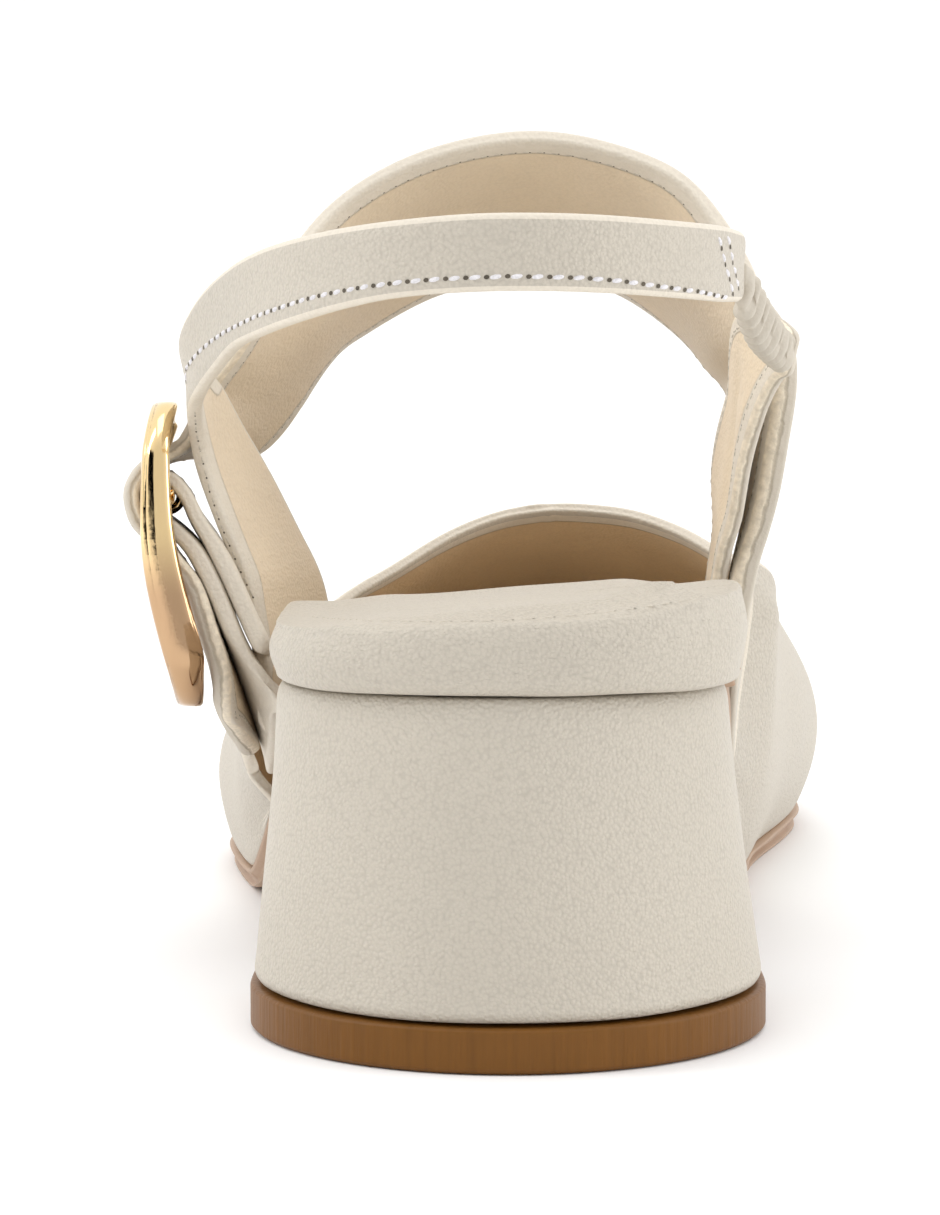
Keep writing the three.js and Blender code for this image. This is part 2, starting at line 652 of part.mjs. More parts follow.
// The slingback strap from its medial end round the heel, down into the lateral quarter
const slingRows = tableCurve([
  { topX: 0.552, topY: 0.126, topZ: 0.991, lowX: 0.548, lowY: 0.126, lowZ: 0.918 },
  { topX: 0.5, topY: 0.083, topZ: 1.005, lowX: 0.5, lowY: 0.083, lowZ: 0.925 },
  { topX: 0.4, topY: 0.044, topZ: 1.016, lowX: 0.4, lowY: 0.044, lowZ: 0.936 },
  { topX: 0.24, topY: 0.014, topZ: 1.027, lowX: 0.24, lowY: 0.014, lowZ: 0.947 },
  { topX: 0.08, topY: 0.002, topZ: 1.032, lowX: 0.08, lowY: 0.002, lowZ: 0.952 },
  { topX: -0.1, topY: 0.002, topZ: 1.031, lowX: -0.1, lowY: 0.002, lowZ: 0.951 },
  { topX: -0.28, topY: 0.0175, topZ: 1.021, lowX: -0.28, lowY: 0.0175, lowZ: 0.941 },
  { topX: -0.42, topY: 0.044, topZ: 1.007, lowX: -0.42, lowY: 0.044, lowZ: 0.922 },
  { topX: -0.54, topY: 0.081, topZ: 0.988, lowX: -0.54, lowY: 0.081, lowZ: 0.898 },
  { topX: -0.628, topY: 0.119, topZ: 0.968, lowX: -0.62, lowY: 0.119, lowZ: 0.877 },
  { topX: -0.706, topY: 0.158, topZ: 0.941, lowX: -0.692, lowY: 0.158, lowZ: 0.854 },
  { topX: -0.786, topY: 0.2, topZ: 0.9, lowX: -0.752, lowY: 0.194, lowZ: 0.818 },
  { topX: -0.844, topY: 0.2375, topZ: 0.846, lowX: -0.8, lowY: 0.221, lowZ: 0.783 },
  { topX: -0.84, topY: 0.275, topZ: 0.805, lowX: -0.828, lowY: 0.254, lowZ: 0.749 },
  { topX: -0.792, topY: 0.306, topZ: 0.768, lowX: -0.829, lowY: 0.277, lowZ: 0.7 },
  { topX: -0.738, topY: 0.329, topZ: 0.708, lowX: -0.81, lowY: 0.284, lowZ: 0.655 },
  { topX: -0.67, topY: 0.35, topZ: 0.639, lowX: -0.768, lowY: 0.284, lowZ: 0.598 },
  { topX: -0.6, topY: 0.369, topZ: 0.56, lowX: -0.71, lowY: 0.286, lowZ: 0.525 },
  { topX: -0.53, topY: 0.383, topZ: 0.475, lowX: -0.645, lowY: 0.291, lowZ: 0.455 },
  { topX: -0.52, topY: 0.392, topZ: 0.38, lowX: -0.585, lowY: 0.302, lowZ: 0.39 },
  { topX: -0.565, topY: 0.396, topZ: 0.28, lowX: -0.56, lowY: 0.318, lowZ: 0.335 },
  { topX: -0.612, topY: 0.396, topZ: 0.192, lowX: -0.555, lowY: 0.329, lowZ: 0.3 },
]);

function slingGeometry() {
  const pointsAt = (u) => {
    const row = slingRows(u);
    return {
      back: shares(row.lowX, row.lowY, row.lowZ),
      front: shares(row.topX, row.topY, row.topZ),
      crown: 0,
    };
  };
  return strapSolid(pointsAt, { wall: slingWall, along: 50, across: 3 });
}

// The elastic between the sling's medial end and the medial quarter
const elasticRows = tableCurve([
  { topX: 0.57, topY: 0.132, topZ: 0.968, lowX: 0.564, lowY: 0.132, lowZ: 0.9 },
  { topX: 0.626, topY: 0.158, topZ: 0.903, lowX: 0.6, lowY: 0.158, lowZ: 0.85 },
  { topX: 0.666, topY: 0.188, topZ: 0.868, lowX: 0.65, lowY: 0.19, lowZ: 0.822 },
  { topX: 0.7, topY: 0.214, topZ: 0.848, lowX: 0.69, lowY: 0.214, lowZ: 0.808 },
]);

function elasticGeometry() {
  const pointsAt = (u) => {
    const row = elasticRows(u);
    return {
      back: shares(row.lowX, row.lowY, row.lowZ),
      front: shares(row.topX, row.topY, row.topZ),
      crown: 0.3 + 0.25 * Math.cos(u * 12 * Math.PI),
    };
  };
  return strapSolid(pointsAt, { wall: elasticWall, along: 24, across: 3 });
}

// The medial quarter from its corner at the elastic down to the footbed
const quarterRows = tableCurve([
  { topX: 0.712, topY: 0.22, topZ: 0.852, lowX: 0.698, lowY: 0.22, lowZ: 0.806 },
  { topX: 0.67, topY: 0.25, topZ: 0.866, lowX: 0.674, lowY: 0.231, lowZ: 0.795 },
  { topX: 0.6, topY: 0.287, topZ: 0.862, lowX: 0.64, lowY: 0.248, lowZ: 0.755 },
  { topX: 0.586, topY: 0.317, topZ: 0.819, lowX: 0.61, lowY: 0.267, lowZ: 0.695 },
  { topX: 0.586, topY: 0.333, topZ: 0.762, lowX: 0.594, lowY: 0.275, lowZ: 0.65 },
  { topX: 0.56, topY: 0.35, topZ: 0.698, lowX: 0.58, lowY: 0.283, lowZ: 0.6 },
  { topX: 0.548, topY: 0.358, topZ: 0.643, lowX: 0.558, lowY: 0.29, lowZ: 0.56 },
  { topX: 0.554, topY: 0.358, topZ: 0.575, lowX: 0.544, lowY: 0.298, lowZ: 0.515 },
  { topX: 0.536, topY: 0.354, topZ: 0.5, lowX: 0.53, lowY: 0.3, lowZ: 0.47 },
  { topX: 0.522, topY: 0.354, topZ: 0.4, lowX: 0.522, lowY: 0.3, lowZ: 0.415 },
  { topX: 0.522, topY: 0.354, topZ: 0.29, lowX: 0.527, lowY: 0.3, lowZ: 0.365 },
]);

function quarterGeometry() {
  const pointsAt = (u) => {
    const row = quarterRows(u);
    return {
      back: shares(row.topX, row.topY, row.topZ),
      front: shares(row.lowX, row.lowY, row.lowZ),
      crown: 0,
    };
  };
  return strapSolid(pointsAt, { wall: quarterWall, along: 20, across: 3 });
}

// The buckle's own plane: "a" runs across the strap, forwards and down, and "b" along it, up
const tilt = THREE.MathUtils.degToRad(buckleTilt);
const barStart = { across: -0.906, along: 0.271, up: 0.63 };

function buckleSpot(x, a, b) {
  const start = shares(barStart.across, barStart.along, barStart.up);
  return new THREE.Vector3(
    start.x + x - buckleFlare * a,
    start.y + a * Math.cos(tilt) + b * Math.sin(tilt),
    start.z - a * Math.sin(tilt) + b * Math.cos(tilt),
  );
}

// The instep strap up to the buckle, from the medial side
const instepRows = [
  { backX: 0.572, backY: 0.292, backZ: 0.375, frontX: 0.575, frontY: 0.385, frontZ: 0.225, crown: 0 },
  { backX: 0.594, backY: 0.292, backZ: 0.435, frontX: 0.59, frontY: 0.396, frontZ: 0.31, crown: 0.3 },
  { backX: 0.624, backY: 0.292, backZ: 0.505, frontX: 0.622, frontY: 0.41, frontZ: 0.425, crown: 0.6 },
  { backX: 0.652, backY: 0.292, backZ: 0.58, frontX: 0.642, frontY: 0.429, frontZ: 0.53, crown: 1 },
  { backX: 0.692, backY: 0.292, backZ: 0.7, frontX: 0.645, frontY: 0.446, frontZ: 0.635, crown: 1.5 },
  { backX: 0.722, backY: 0.3, backZ: 0.82, frontX: 0.604, frontY: 0.458, frontZ: 0.725, crown: 2 },
  { backX: 0.656, backY: 0.3125, backZ: 0.88, frontX: 0.546, frontY: 0.465, frontZ: 0.762, crown: 2.5 },
  { backX: 0.58, backY: 0.325, backZ: 0.953, frontX: 0.476, frontY: 0.471, frontZ: 0.803, crown: 2.5 },
  { backX: 0.45, backY: 0.3375, backZ: 1.03, frontX: 0.35, frontY: 0.483, frontZ: 0.85, crown: 2 },
  { backX: 0.28, backY: 0.348, backZ: 1.069, frontX: 0.23, frontY: 0.496, frontZ: 0.876, crown: 1 },
  { backX: 0.076, backY: 0.354, backZ: 1.088, frontX: 0.08, frontY: 0.5, frontZ: 0.886, crown: 0.5 },
  { backX: -0.13, backY: 0.35, backZ: 1.078, frontX: -0.08, frontY: 0.496, frontZ: 0.88, crown: 0.5 },
  { backX: -0.324, backY: 0.342, backZ: 1.045, frontX: -0.24, frontY: 0.485, frontZ: 0.86, crown: 1 },
  { backX: -0.492, backY: 0.333, backZ: 0.988, frontX: -0.4, frontY: 0.473, frontZ: 0.818, crown: 1.5 },
  { backX: -0.62, backY: 0.31, backZ: 0.905, frontX: -0.5, frontY: 0.452, frontZ: 0.785, crown: 1 },
];
// From there on the strap's edges are given in the buckle's plane: "Out" from the bar, "A" across the
// strap and "B" along it. They pass inside the frame's upper bar, over the chape, and inside the
// lower bar to the free end.
const instepBuckleRows = [
  { backOut: 10, backA: 6.9, backB: 20.6, frontOut: 19, frontA: 40.7, frontB: 14.7 },
  { backOut: 5.9, backA: 10.5, backB: 14.8, frontOut: 15.9, frontA: 38.6, frontB: 10.1 },
  { backOut: 3.9, backA: 7.4, backB: 10.5, frontOut: 12.4, frontA: 36, frontB: 6.6 },
  { backOut: 2.2, backA: 4.6, backB: 7.1, frontOut: 8.5, frontA: 33.5, frontB: 5.9 },
  { backOut: -0.3, backA: 2, backB: 5.6, frontOut: 4.4, frontA: 31, frontB: 6.1 },
  { backOut: -2.5, backA: 0.6, backB: 4.1, frontOut: 0.4, frontA: 29.9, frontB: 5.5 },
  { backOut: -4, backA: 0, backB: 2.4, frontOut: -3, frontA: 30, frontB: 3.7 },
  { backOut: -4.75, backA: 0, backB: 0.2, frontOut: -4.75, frontA: 30, frontB: 0.2 },
  { backOut: -4, backA: 0, backB: -3, frontOut: -4, frontA: 30, frontB: -3 },
  { backOut: -2.1, backA: 0, backB: -5.1, frontOut: -2.1, frontA: 30, frontB: -5.2 },
  { backOut: -0.1, backA: 0, backB: -7, frontOut: -0.1, frontA: 30, frontB: -7.4 },
  { backOut: 1.3, backA: 0, backB: -8.9, frontOut: 1.4, frontA: 30, frontB: -9.6 },
  { backOut: 2.9, backA: 0, backB: -11, frontOut: 3, frontA: 30, frontB: -12.2 },
  { backOut: 4, backA: 0, backB: -13.5, frontOut: 4.6, frontA: 30, frontB: -15.6 },
  { backOut: 5.3, backA: 0, backB: -17.6, frontOut: 6.6, frontA: 30, frontB: -20.6 },
  { backOut: 6.5, backA: 0, backB: -21.2, frontOut: 8.6, frontA: 30, frontB: -25.5 },
  { backOut: 7.1, backA: 0.6, backB: -24.2, frontOut: 10, frontA: 29.4, frontB: -29.6 },
  { backOut: 7.2, backA: 3, backB: -26.6, frontOut: 11, frontA: 27.4, frontB: -33 },
  { backOut: 7.6, backA: 7.5, backB: -29, frontOut: 11.2, frontA: 23.5, frontB: -34.2 },
];

const instepEdges = (() => {
  const rows = instepRows.map((row) => ({
    back: shares(row.backX, row.backY, row.backZ),
    front: shares(row.frontX, row.frontY, row.frontZ),
    crown: row.crown,
  }));
  for (const row of instepBuckleRows) {
    rows.push({
      back: buckleSpot(row.backOut, row.backA, row.backB),
      front: buckleSpot(row.frontOut, row.frontA, row.frontB),
      crown: 0,
    });
  }
  return tableCurve(
    rows.map(({ back, front, crown }) => ({
      backX: back.x,
      backY: back.y,
      backZ: back.z,
      frontX: front.x,
      frontY: front.y,
      frontZ: front.z,
      crown,
    })),
  );
})();

function instepStrapGeometry() {
  const pointsAt = (u) => {
    const row = instepEdges(u);
    return {
      back: new THREE.Vector3(row.backX, row.backY, row.backZ),
      front: new THREE.Vector3(row.frontX, row.frontY, row.frontZ),
      crown: row.crown,
    };
  };
  return strapSolid(pointsAt, { wall: instepStrapWall, along: 66, across: 5 });
}

// The chape: from its inner end up round the bar, and down again to the sole, in the buckle's plane
const chapeRows = tableCurve([
  { backOut: 11.5, backB: -17.4, frontOut: 11.5, frontB: -17.4 },
  { backOut: 9.5, backB: -13.3, frontOut: 9.5, frontB: -13.3 },
  { backOut: 7.8, backB: -9.6, frontOut: 7.8, frontB: -9.6 },
  { backOut: 5.9, backB: -6, frontOut: 5.9, frontB: -6 },
  { backOut: 3.8, backB: -2.7, frontOut: 3.8, frontB: -2.7 },
  { backOut: 2.35, backB: 0.2, frontOut: 2.35, frontB: 0.2 },
  { backOut: 0, backB: 2.45, frontOut: 0, frontB: 2.45 },
  { backOut: -2.4, backB: 0.1, frontOut: -2.4, frontB: 0.1 },
  { backOut: -1.2, backB: -2.4, frontOut: -1.2, frontB: -2.4 },
  { backOut: 1.2, backB: -4.5, frontOut: 1.2, frontB: -4.5 },
  { backOut: 3.5, backB: -6.9, frontOut: 3.5, frontB: -7 },
  { backOut: 5.4, backB: -10.3, frontOut: 5.5, frontB: -10.8 },
  { backOut: 6.9, backB: -13.6, frontOut: 7.3, frontB: -15.4 },
  { backOut: 8.6, backB: -17.6, frontOut: 9.9, frontB: -22.4 },
  { backOut: 10.8, backB: -20.9, frontOut: 12.6, frontB: -29.6 },
  { backOut: 13, backB: -23.2, frontOut: 13.9, frontB: -34.2 },
  { backOut: 14.8, backB: -24.6, frontOut: 14.6, frontB: -37.2 },
]);

function chapeGeometry() {
  const pointAt = (u, v) => {
    const row = chapeRows(u);
    const a = THREE.MathUtils.lerp(chapeSideGap, strapBuckleWidth - chapeSideGap, v);
    const out = THREE.MathUtils.lerp(row.backOut, row.frontOut, v);
    return buckleSpot(out, a, THREE.MathUtils.lerp(row.backB, row.frontB, v));
  };
  return sheetSolid(pointAt, { along: 38, across: 4, outer: chapeWall / 2, inner: -chapeWall / 2 });
}

// Buckle frame: a rounded ring swept along its outline. "at" goes from its upper end to its lower
// end, bow is how far the outer face lies from the bar, and groove is the share of the back's groove
const frameRows = tableCurve([
  { at: 0, bow: -1.1, depth: 3, groove: 0 },
  { at: 0.05, bow: -2.2, depth: 3.3, groove: 0.2 },
  { at: 0.15, bow: -3.1, depth: 3.2, groove: 0.7 },
  { at: 0.29, bow: -3.4, depth: 3.7, groove: 1 },
  { at: 0.42, bow: -3.45, depth: 4, groove: 1 },
  { at: 0.55, bow: -3.1, depth: 4.4, groove: 1 },
  { at: 0.65, bow: -2.15, depth: 4.9, groove: 1 },
  { at: 0.79, bow: -0.85, depth: 5, groove: 1 },
  { at: 0.92, bow: 0.7, depth: 3.8, groove: 1 },
  { at: 1, bow: 1.6, depth: 2.6, groove: 1 },
]);

function frameRow(b) {
  return frameRows((frameAboveBar - b) / (frameAboveBar + frameBelowBar));
}

function frameGeometry() {
  const inner = {
    lowA: -strapPlay,
    highA: strapBuckleWidth + strapPlay,
    lowB: -frameBelowBar + frameBarWidth,
    highB: frameAboveBar - frameBarWidth,
  };
  const corner = frameCorner - frameBarWidth / 2;
  const half = frameBarWidth / 2;
  const centre = [];
  const corners = [
    { a: inner.highA + half - corner, b: inner.highB + half - corner, from: 0 },
    { a: inner.lowA - half + corner, b: inner.highB + half - corner, from: 90 },
    { a: inner.lowA - half + corner, b: inner.lowB - half + corner, from: 180 },
    { a: inner.highA + half - corner, b: inner.lowB - half + corner, from: 270 },
  ];
  for (const { a, b, from } of corners) {
    for (const share of steps(4)) {
      const angle = THREE.MathUtils.degToRad(from + 90 * share);
      const normal = { a: Math.cos(angle), b: Math.sin(angle) };
      centre.push({ a: a + corner * normal.a, b: b + corner * normal.b, normal });
    }
    const next = corners[(corners.findIndex((c) => c.from === from) + 1) % 4];
    const end = centre[centre.length - 1];
    const away = THREE.MathUtils.degToRad(from + 90);
    const goal = { a: next.a + corner * Math.cos(away), b: next.b + corner * Math.sin(away) };
    for (const share of [1 / 3, 2 / 3]) {
      centre.push({
        a: THREE.MathUtils.lerp(end.a, goal.a, share),
        b: THREE.MathUtils.lerp(end.b, goal.b, share),
        normal: end.normal,
      });
    }
  }
  const section = [
    { wide: -1, deep: 0.3 },
    { wide: -0.6, deep: 0 },
    { wide: 0.6, deep: 0 },
    { wide: 1, deep: 0.3 },
    { wide: 1, deep: 1 },
    { wide: 0.55, deep: 1 },
    { wide: 0.4, deep: 1, groove: 1 },
    { wide: -0.4, deep: 1, groove: 1 },
    { wide: -0.55, deep: 1 },
    { wide: -1, deep: 1 },
  ];
  const loops = centre.map(({ a, b, normal }) =>
    section.map(({ wide, deep, groove = 0 }) => {
      const shift = wide * half;
      const row = frameRow(b);
      const out = row.bow + deep * row.depth - groove * row.groove * frameGroove;
      return buckleSpot(out, a + shift * normal.a, b + shift * normal.b);
    }),
  );
  const barEnds = [-strapPlay - half, strapBuckleWidth + strapPlay + half];
  const barPath = [barEnds[0], strapBuckleWidth / 2, barEnds[1]].map((a) => buckleSpot(0, a, 0));
  const bar = barSolid(barPath, barRadius);
  const lugs = [-strapPlay - half * 0.7, strapBuckleWidth + strapPlay + half * 0.7].map((a) =>
    barSolid([buckleSpot(-3, a, 0), buckleSpot(barRadius * 0.8, a, 0)], barRadius, 8),
  );
  let joined = solidOf(ringSolid(loops.reverse()));
  for (const piece of [bar, ...lugs]) joined = joined.add(solidOf(piece));
  return joined.subtract(solidOf(barSolid(prongPath().slice(-prongRestPoints), prongRadius + clearance)));
}

// The prong: an eye round the bar, and a pin through the strap that rests in a notch of the frame's
// upper bar
const prongRestPoints = 4;

function prongPath() {
  const middle = strapBuckleWidth / 2;
  const restB = frameAboveBar - frameBarWidth / 2;
  const rest = frameRow(restB).bow + prongSink;
  return [
    buckleSpot(-barRadius, middle, 2),
    buckleSpot(-1.6, middle, 3.6),
    buckleSpot(-2, middle, 5.2),
    buckleSpot(-2.2, middle, 7),
    buckleSpot(-1.9, middle, 8.8),
    buckleSpot(rest, middle, restB),
    buckleSpot(rest + 0.3, middle, frameAboveBar - prongRadius),
  ];
}

function prongSolid() {
  const middle = strapBuckleWidth / 2;
  const half = prongEyeWall / 2;
  const eyeRadius = barRadius + clearance + half;
  const eye = steps(16)
    .slice(0, 16)
    .map((turn) => {
      const angle = turn * 2 * Math.PI;
      const radial = { out: Math.cos(angle), b: Math.sin(angle) };
      return [
        [-half, -prongRadius],
        [half, -prongRadius],
        [half, prongRadius],
        [-half, prongRadius],
      ].map(([wide, a]) => {
        const reach = eyeRadius + wide;
        return buckleSpot(radial.out * reach, middle + a, radial.b * reach);
      });
    });
  return solidOf(ringSolid(eye)).add(solidOf(barSolid(prongPath(), prongRadius)));
}

// What the prong needs free in the leather: a slot in the chape and a hole in the strap
function slotRoom() {
  const middle = strapBuckleWidth / 2;
  const wide = prongRadius + 2 * clearance;
  const slot = barRadius + clearance + chapeWall + clearance;
  const corners = [
    [-slot, -slot],
    [-slot, slot],
    [slot, slot],
    [slot, -slot],
  ];
  const loops = [middle - wide, middle + wide].map((a) => corners.map(([out, b]) => buckleSpot(out, a, b)));
  return solidOf(loftSolid(loops));
}

function holeRoom() {
  return solidOf(barSolid(prongPath(), prongRadius + 1.5 * clearance));
}

const group = new THREE.Group();

function addPiece(name, geometry, finish) {
  const mesh = new THREE.Mesh(geometry, new THREE.MeshStandardMaterial(finish));
  mesh.name = name;
  group.add(mesh);
}

addPiece("outsole", outsoleGeometry(), soleTan);
addPiece("heel_block", heelBlockGeometry(), creamLeather);
addPiece("heel_top_piece", heelTopPieceGeometry(), topPieceBrown);
addPiece("footbed", footbedGeometry(), creamLeather);
addPiece("vamp", vampGeometry(), creamLeather);
addPiece("sling_strap", slingGeometry(), creamLeather);
addPiece("sling_elastic", elasticGeometry(), creamLeather);
addPiece("medial_quarter", quarterGeometry(), creamLeather);
addPiece("instep_strap", geometryFrom(solidOf(instepStrapGeometry()).subtract(holeRoom())), creamLeather);
addPiece("buckle_chape", geometryFrom(solidOf(chapeGeometry()).subtract(slotRoom())), liningLeather);
addPiece("buckle_frame", geometryFrom(frameGeometry()), buckleGold);
addPiece("buckle_prong", geometryFrom(prongSolid()), buckleGold);

export default group;
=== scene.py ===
"""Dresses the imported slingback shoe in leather, thread and gold, and sets it on a pale floor.

Everything is in metres in the part's own frame: +Y to the toe, +X to the inner side, +Z up, with the
origin on the floor under the middle of the heel's tread.
"""

import math

import bmesh
import bpy
from mathutils import Matrix, Vector, noise
from mathutils.bvhtree import BVHTree
from mathutils.kdtree import KDTree


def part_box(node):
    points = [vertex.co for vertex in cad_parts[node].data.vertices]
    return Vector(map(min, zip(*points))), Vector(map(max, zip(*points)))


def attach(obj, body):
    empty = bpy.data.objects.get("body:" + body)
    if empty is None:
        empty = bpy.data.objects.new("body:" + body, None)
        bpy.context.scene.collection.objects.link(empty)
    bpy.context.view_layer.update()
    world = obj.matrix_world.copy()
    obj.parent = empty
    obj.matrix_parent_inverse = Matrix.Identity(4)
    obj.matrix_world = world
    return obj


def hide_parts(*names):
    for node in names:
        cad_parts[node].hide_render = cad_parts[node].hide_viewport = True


bl_info = {
    "name": "Slingback Shoe",
    "version": (1, 0, 0),
    "blender": (4, 5, 0),
    "location": "View3D > Sidebar > Shoe",
    "description": "Dresses a packed block heel slingback shoe and its stage",
    "category": "Object",
}

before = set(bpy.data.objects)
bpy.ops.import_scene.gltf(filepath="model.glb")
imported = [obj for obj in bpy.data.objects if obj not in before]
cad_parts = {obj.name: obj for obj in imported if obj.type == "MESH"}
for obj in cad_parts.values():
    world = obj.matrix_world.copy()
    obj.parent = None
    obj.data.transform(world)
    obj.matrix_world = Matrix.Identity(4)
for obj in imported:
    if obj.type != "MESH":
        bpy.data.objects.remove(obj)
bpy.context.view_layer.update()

MM = 0.001

# Points that are nearer than this are one point
WELD = 0.002 * MM

# Two faces that meet at more than this angle have a sharp edge between them
SHARP = math.radians(38)

# Smoothing: how often and how far a cage is moved, and its reach where a piece keeps its rims
FIT_ROUNDS = 3
FIT_SHARE = 0.8
RIM_REACH = 0.35 * MM

# Painted shade in the creases between the pebbles of the grain: how strong it is, and how dark
CREASE_SHADE_SHARE = 0.28
CREASE_PAINTED_SHADE = 0.62

# How much lighter the outer leather is painted where it is turned over an edge, and over the vamp's: painted
# light standing in for the light on these edges, not a lighter leather
TURNED_PAINTED_LIGHT = 1.3
VAMP_TURNED_PAINTED_LIGHT = 1.7

# Faces of a leather piece, by the material slot that they get
OUTER = 0
LINING = 1
EDGE = 2
TURNED_EDGE = 3

# The photograph's view: its scale, its middle and the camera's height in its own pixels, and how far
# behind the heel and above the floor the camera stands, in millimetres
VIEW_SCALE = 5544.0
VIEW_CENTRE = 514.0
VIEW_TOP = 110.0
VIEW_BACK = 660.0
VIEW_HEIGHT = 142.3
HEEL_BACK = -25.0
CAMERA_SPOT = Vector((0.0, HEEL_BACK - VIEW_BACK, VIEW_HEIGHT)) * MM


def seen(across, down, back):
    """The place of a spot of the photograph, in pixels, that lies back millimetres past the heel's back"""
    reach = (VIEW_BACK + back) / VIEW_SCALE
    x = (across - VIEW_CENTRE) * reach
    z = VIEW_HEIGHT - (down + VIEW_TOP) * reach
    return Vector((x, HEEL_BACK + back, z)) * MM


def seen_line(spots):
    return [seen(*spot) for spot in spots]


class ShoeSizes(bpy.types.PropertyGroup):
    """Sizes of the leather's details"""

    stitch_pitch: bpy.props.FloatProperty(
        name="Stitch pitch", description="From one stitch to the next", default=2.5 * MM, subtype="DISTANCE")
    thread_width: bpy.props.FloatProperty(
        name="Thread width", description="Thickness of the thread", default=0.62 * MM, subtype="DISTANCE")
    lining_margin: bpy.props.FloatProperty(
        name="Lining margin", description="How far the outer leather is turned over an edge",
        default=2.0 * MM, subtype="DISTANCE")
    grain_size: bpy.props.FloatProperty(
        name="Grain size", description="Size of the leather's pebbles",
        default=0.48 * MM, subtype="DISTANCE")
    lining_stitch_pitch: bpy.props.FloatProperty(
        name="Lining stitch pitch", description="Pitch of the fine seams on the lining",
        default=1.9 * MM, subtype="DISTANCE")
    layer_swell: bpy.props.FloatProperty(
        name="Layer swell", description="How much the soft layers beside the buckle swell on each side",
        default=0.35 * MM, subtype="DISTANCE")


class ShoeColours(bpy.types.PropertyGroup):
    """Colours of the finishes"""

    cream: bpy.props.FloatVectorProperty(
        name="Cream", description="Outer leather", default=(0.535, 0.485, 0.408), size=3, subtype="COLOR")
    lining: bpy.props.FloatVectorProperty(
        name="Lining", description="Lining leather", default=(0.77, 0.64, 0.47), size=3, subtype="COLOR")
    raw_edge: bpy.props.FloatVectorProperty(
        name="Raw edge", description="Cut edges of the leather",
        default=(0.78, 0.69, 0.55), size=3, subtype="COLOR")
    sole: bpy.props.FloatVectorProperty(
        name="Sole", description="Outsole", default=(0.42, 0.28, 0.185), size=3, subtype="COLOR")
    top_piece: bpy.props.FloatVectorProperty(
        name="Top piece", description="Brown top piece",
        default=(0.15, 0.06, 0.008), size=3, subtype="COLOR")
    gold: bpy.props.FloatVectorProperty(
        name="Gold", description="Buckle plating", default=(0.86, 0.64, 0.34), size=3, subtype="COLOR")
    # painted reflection: the buckle's lower half is painted darker and rosier
    lower_gold_painted_reflection: bpy.props.FloatVectorProperty(
        name="Lower gold painted reflection", description="Lower half of the buckle",
        default=(0.50, 0.325, 0.19), size=3, subtype="COLOR")
    thread: bpy.props.FloatVectorProperty(
        name="Thread", description="Pale thread", default=(0.72, 0.70, 0.72), size=3, subtype="COLOR")


class StageSettings(bpy.types.PropertyGroup):
    """Camera and lights"""

    camera_back: bpy.props.FloatProperty(
        name="Camera distance", description="From the camera to the back of the heel",
        default=VIEW_BACK * MM, subtype="DISTANCE")
    camera_height: bpy.props.FloatProperty(
        name="Camera height", description="Above the floor",
        default=VIEW_HEIGHT * MM, subtype="DISTANCE")
    camera_pitch: bpy.props.FloatProperty(
        name="Pitch", description="How far the camera looks down",
        default=math.radians(7.37), subtype="ANGLE")
    camera_yaw: bpy.props.FloatProperty(
        name="Yaw", description="How far the camera turns to the outer side",
        default=math.radians(0.455), subtype="ANGLE")
    lens: bpy.props.FloatProperty(
        name="Lens", description="Focal length in millimetres on a 36 mm sensor",
        default=165.6, unit="CAMERA")
    sky: bpy.props.FloatProperty(name="Sky", description="Strength of the white surroundings", default=1.22)
    sky_behind: bpy.props.FloatProperty(
        name="Sky behind the camera", description="Strength of the surroundings behind the camera",
        default=0.85)
    key: bpy.props.FloatProperty(
        name="Key", description="Power of the softbox above the shoe", default=2.5, unit="POWER")
    fill: bpy.props.FloatProperty(
        name="Fill", description="Power of the softbox on the inner side", default=3.0, unit="POWER")


# Node trees


def add_node(tree, kind, settings=None, **inputs):
    """A shader node with its settings and its unlinked inputs"""
    node = tree.nodes.new(kind)
    for name, value in (settings or {}).items():
        setattr(node, name, value)
    for name, value in inputs.items():
        node.inputs[name.replace("_", " ")].default_value = value
    return node


def new_group(name, inputs, outputs):
    """A shader node group with a vector, some numbers with their defaults, and numbers as outputs"""
    group = bpy.data.node_groups.new(name, "ShaderNodeTree")
    sockets = group.interface
    sockets.new_socket("Vector", in_out="INPUT", socket_type="NodeSocketVector")
    for label, default in inputs.items():
        socket = sockets.new_socket(label, in_out="INPUT", socket_type="NodeSocketFloat")
        socket.default_value = default
    for label in outputs:
        sockets.new_socket(label, in_out="OUTPUT", socket_type="NodeSocketFloat")
    return group, group.nodes.new("NodeGroupInput"), group.nodes.new("NodeGroupOutput")


def scaled_vector(group, source, scale_socket):
    """The group's Vector input, multiplied by one of its inputs"""
    scaled = add_node(group, "ShaderNodeVectorMath", {"operation": "SCALE"})
    group.links.new(source.outputs["Vector"], scaled.inputs[0])
    group.links.new(source.outputs[scale_socket], scaled.inputs["Scale"])
    return scaled.outputs["Vector"]


def math_node(group, operation, a, b=None, clamp=False):
    """A math node from sockets or numbers"""
    node = add_node(group, "ShaderNodeMath", {"operation": operation, "use_clamp": clamp})
    for i, value in enumerate((a, b)):
        if value is None:
            continue
        if isinstance(value, (int, float)):
            node.inputs[i].default_value = value
        else:
            group.links.new(value, node.inputs[i])
    return node.outputs[0]


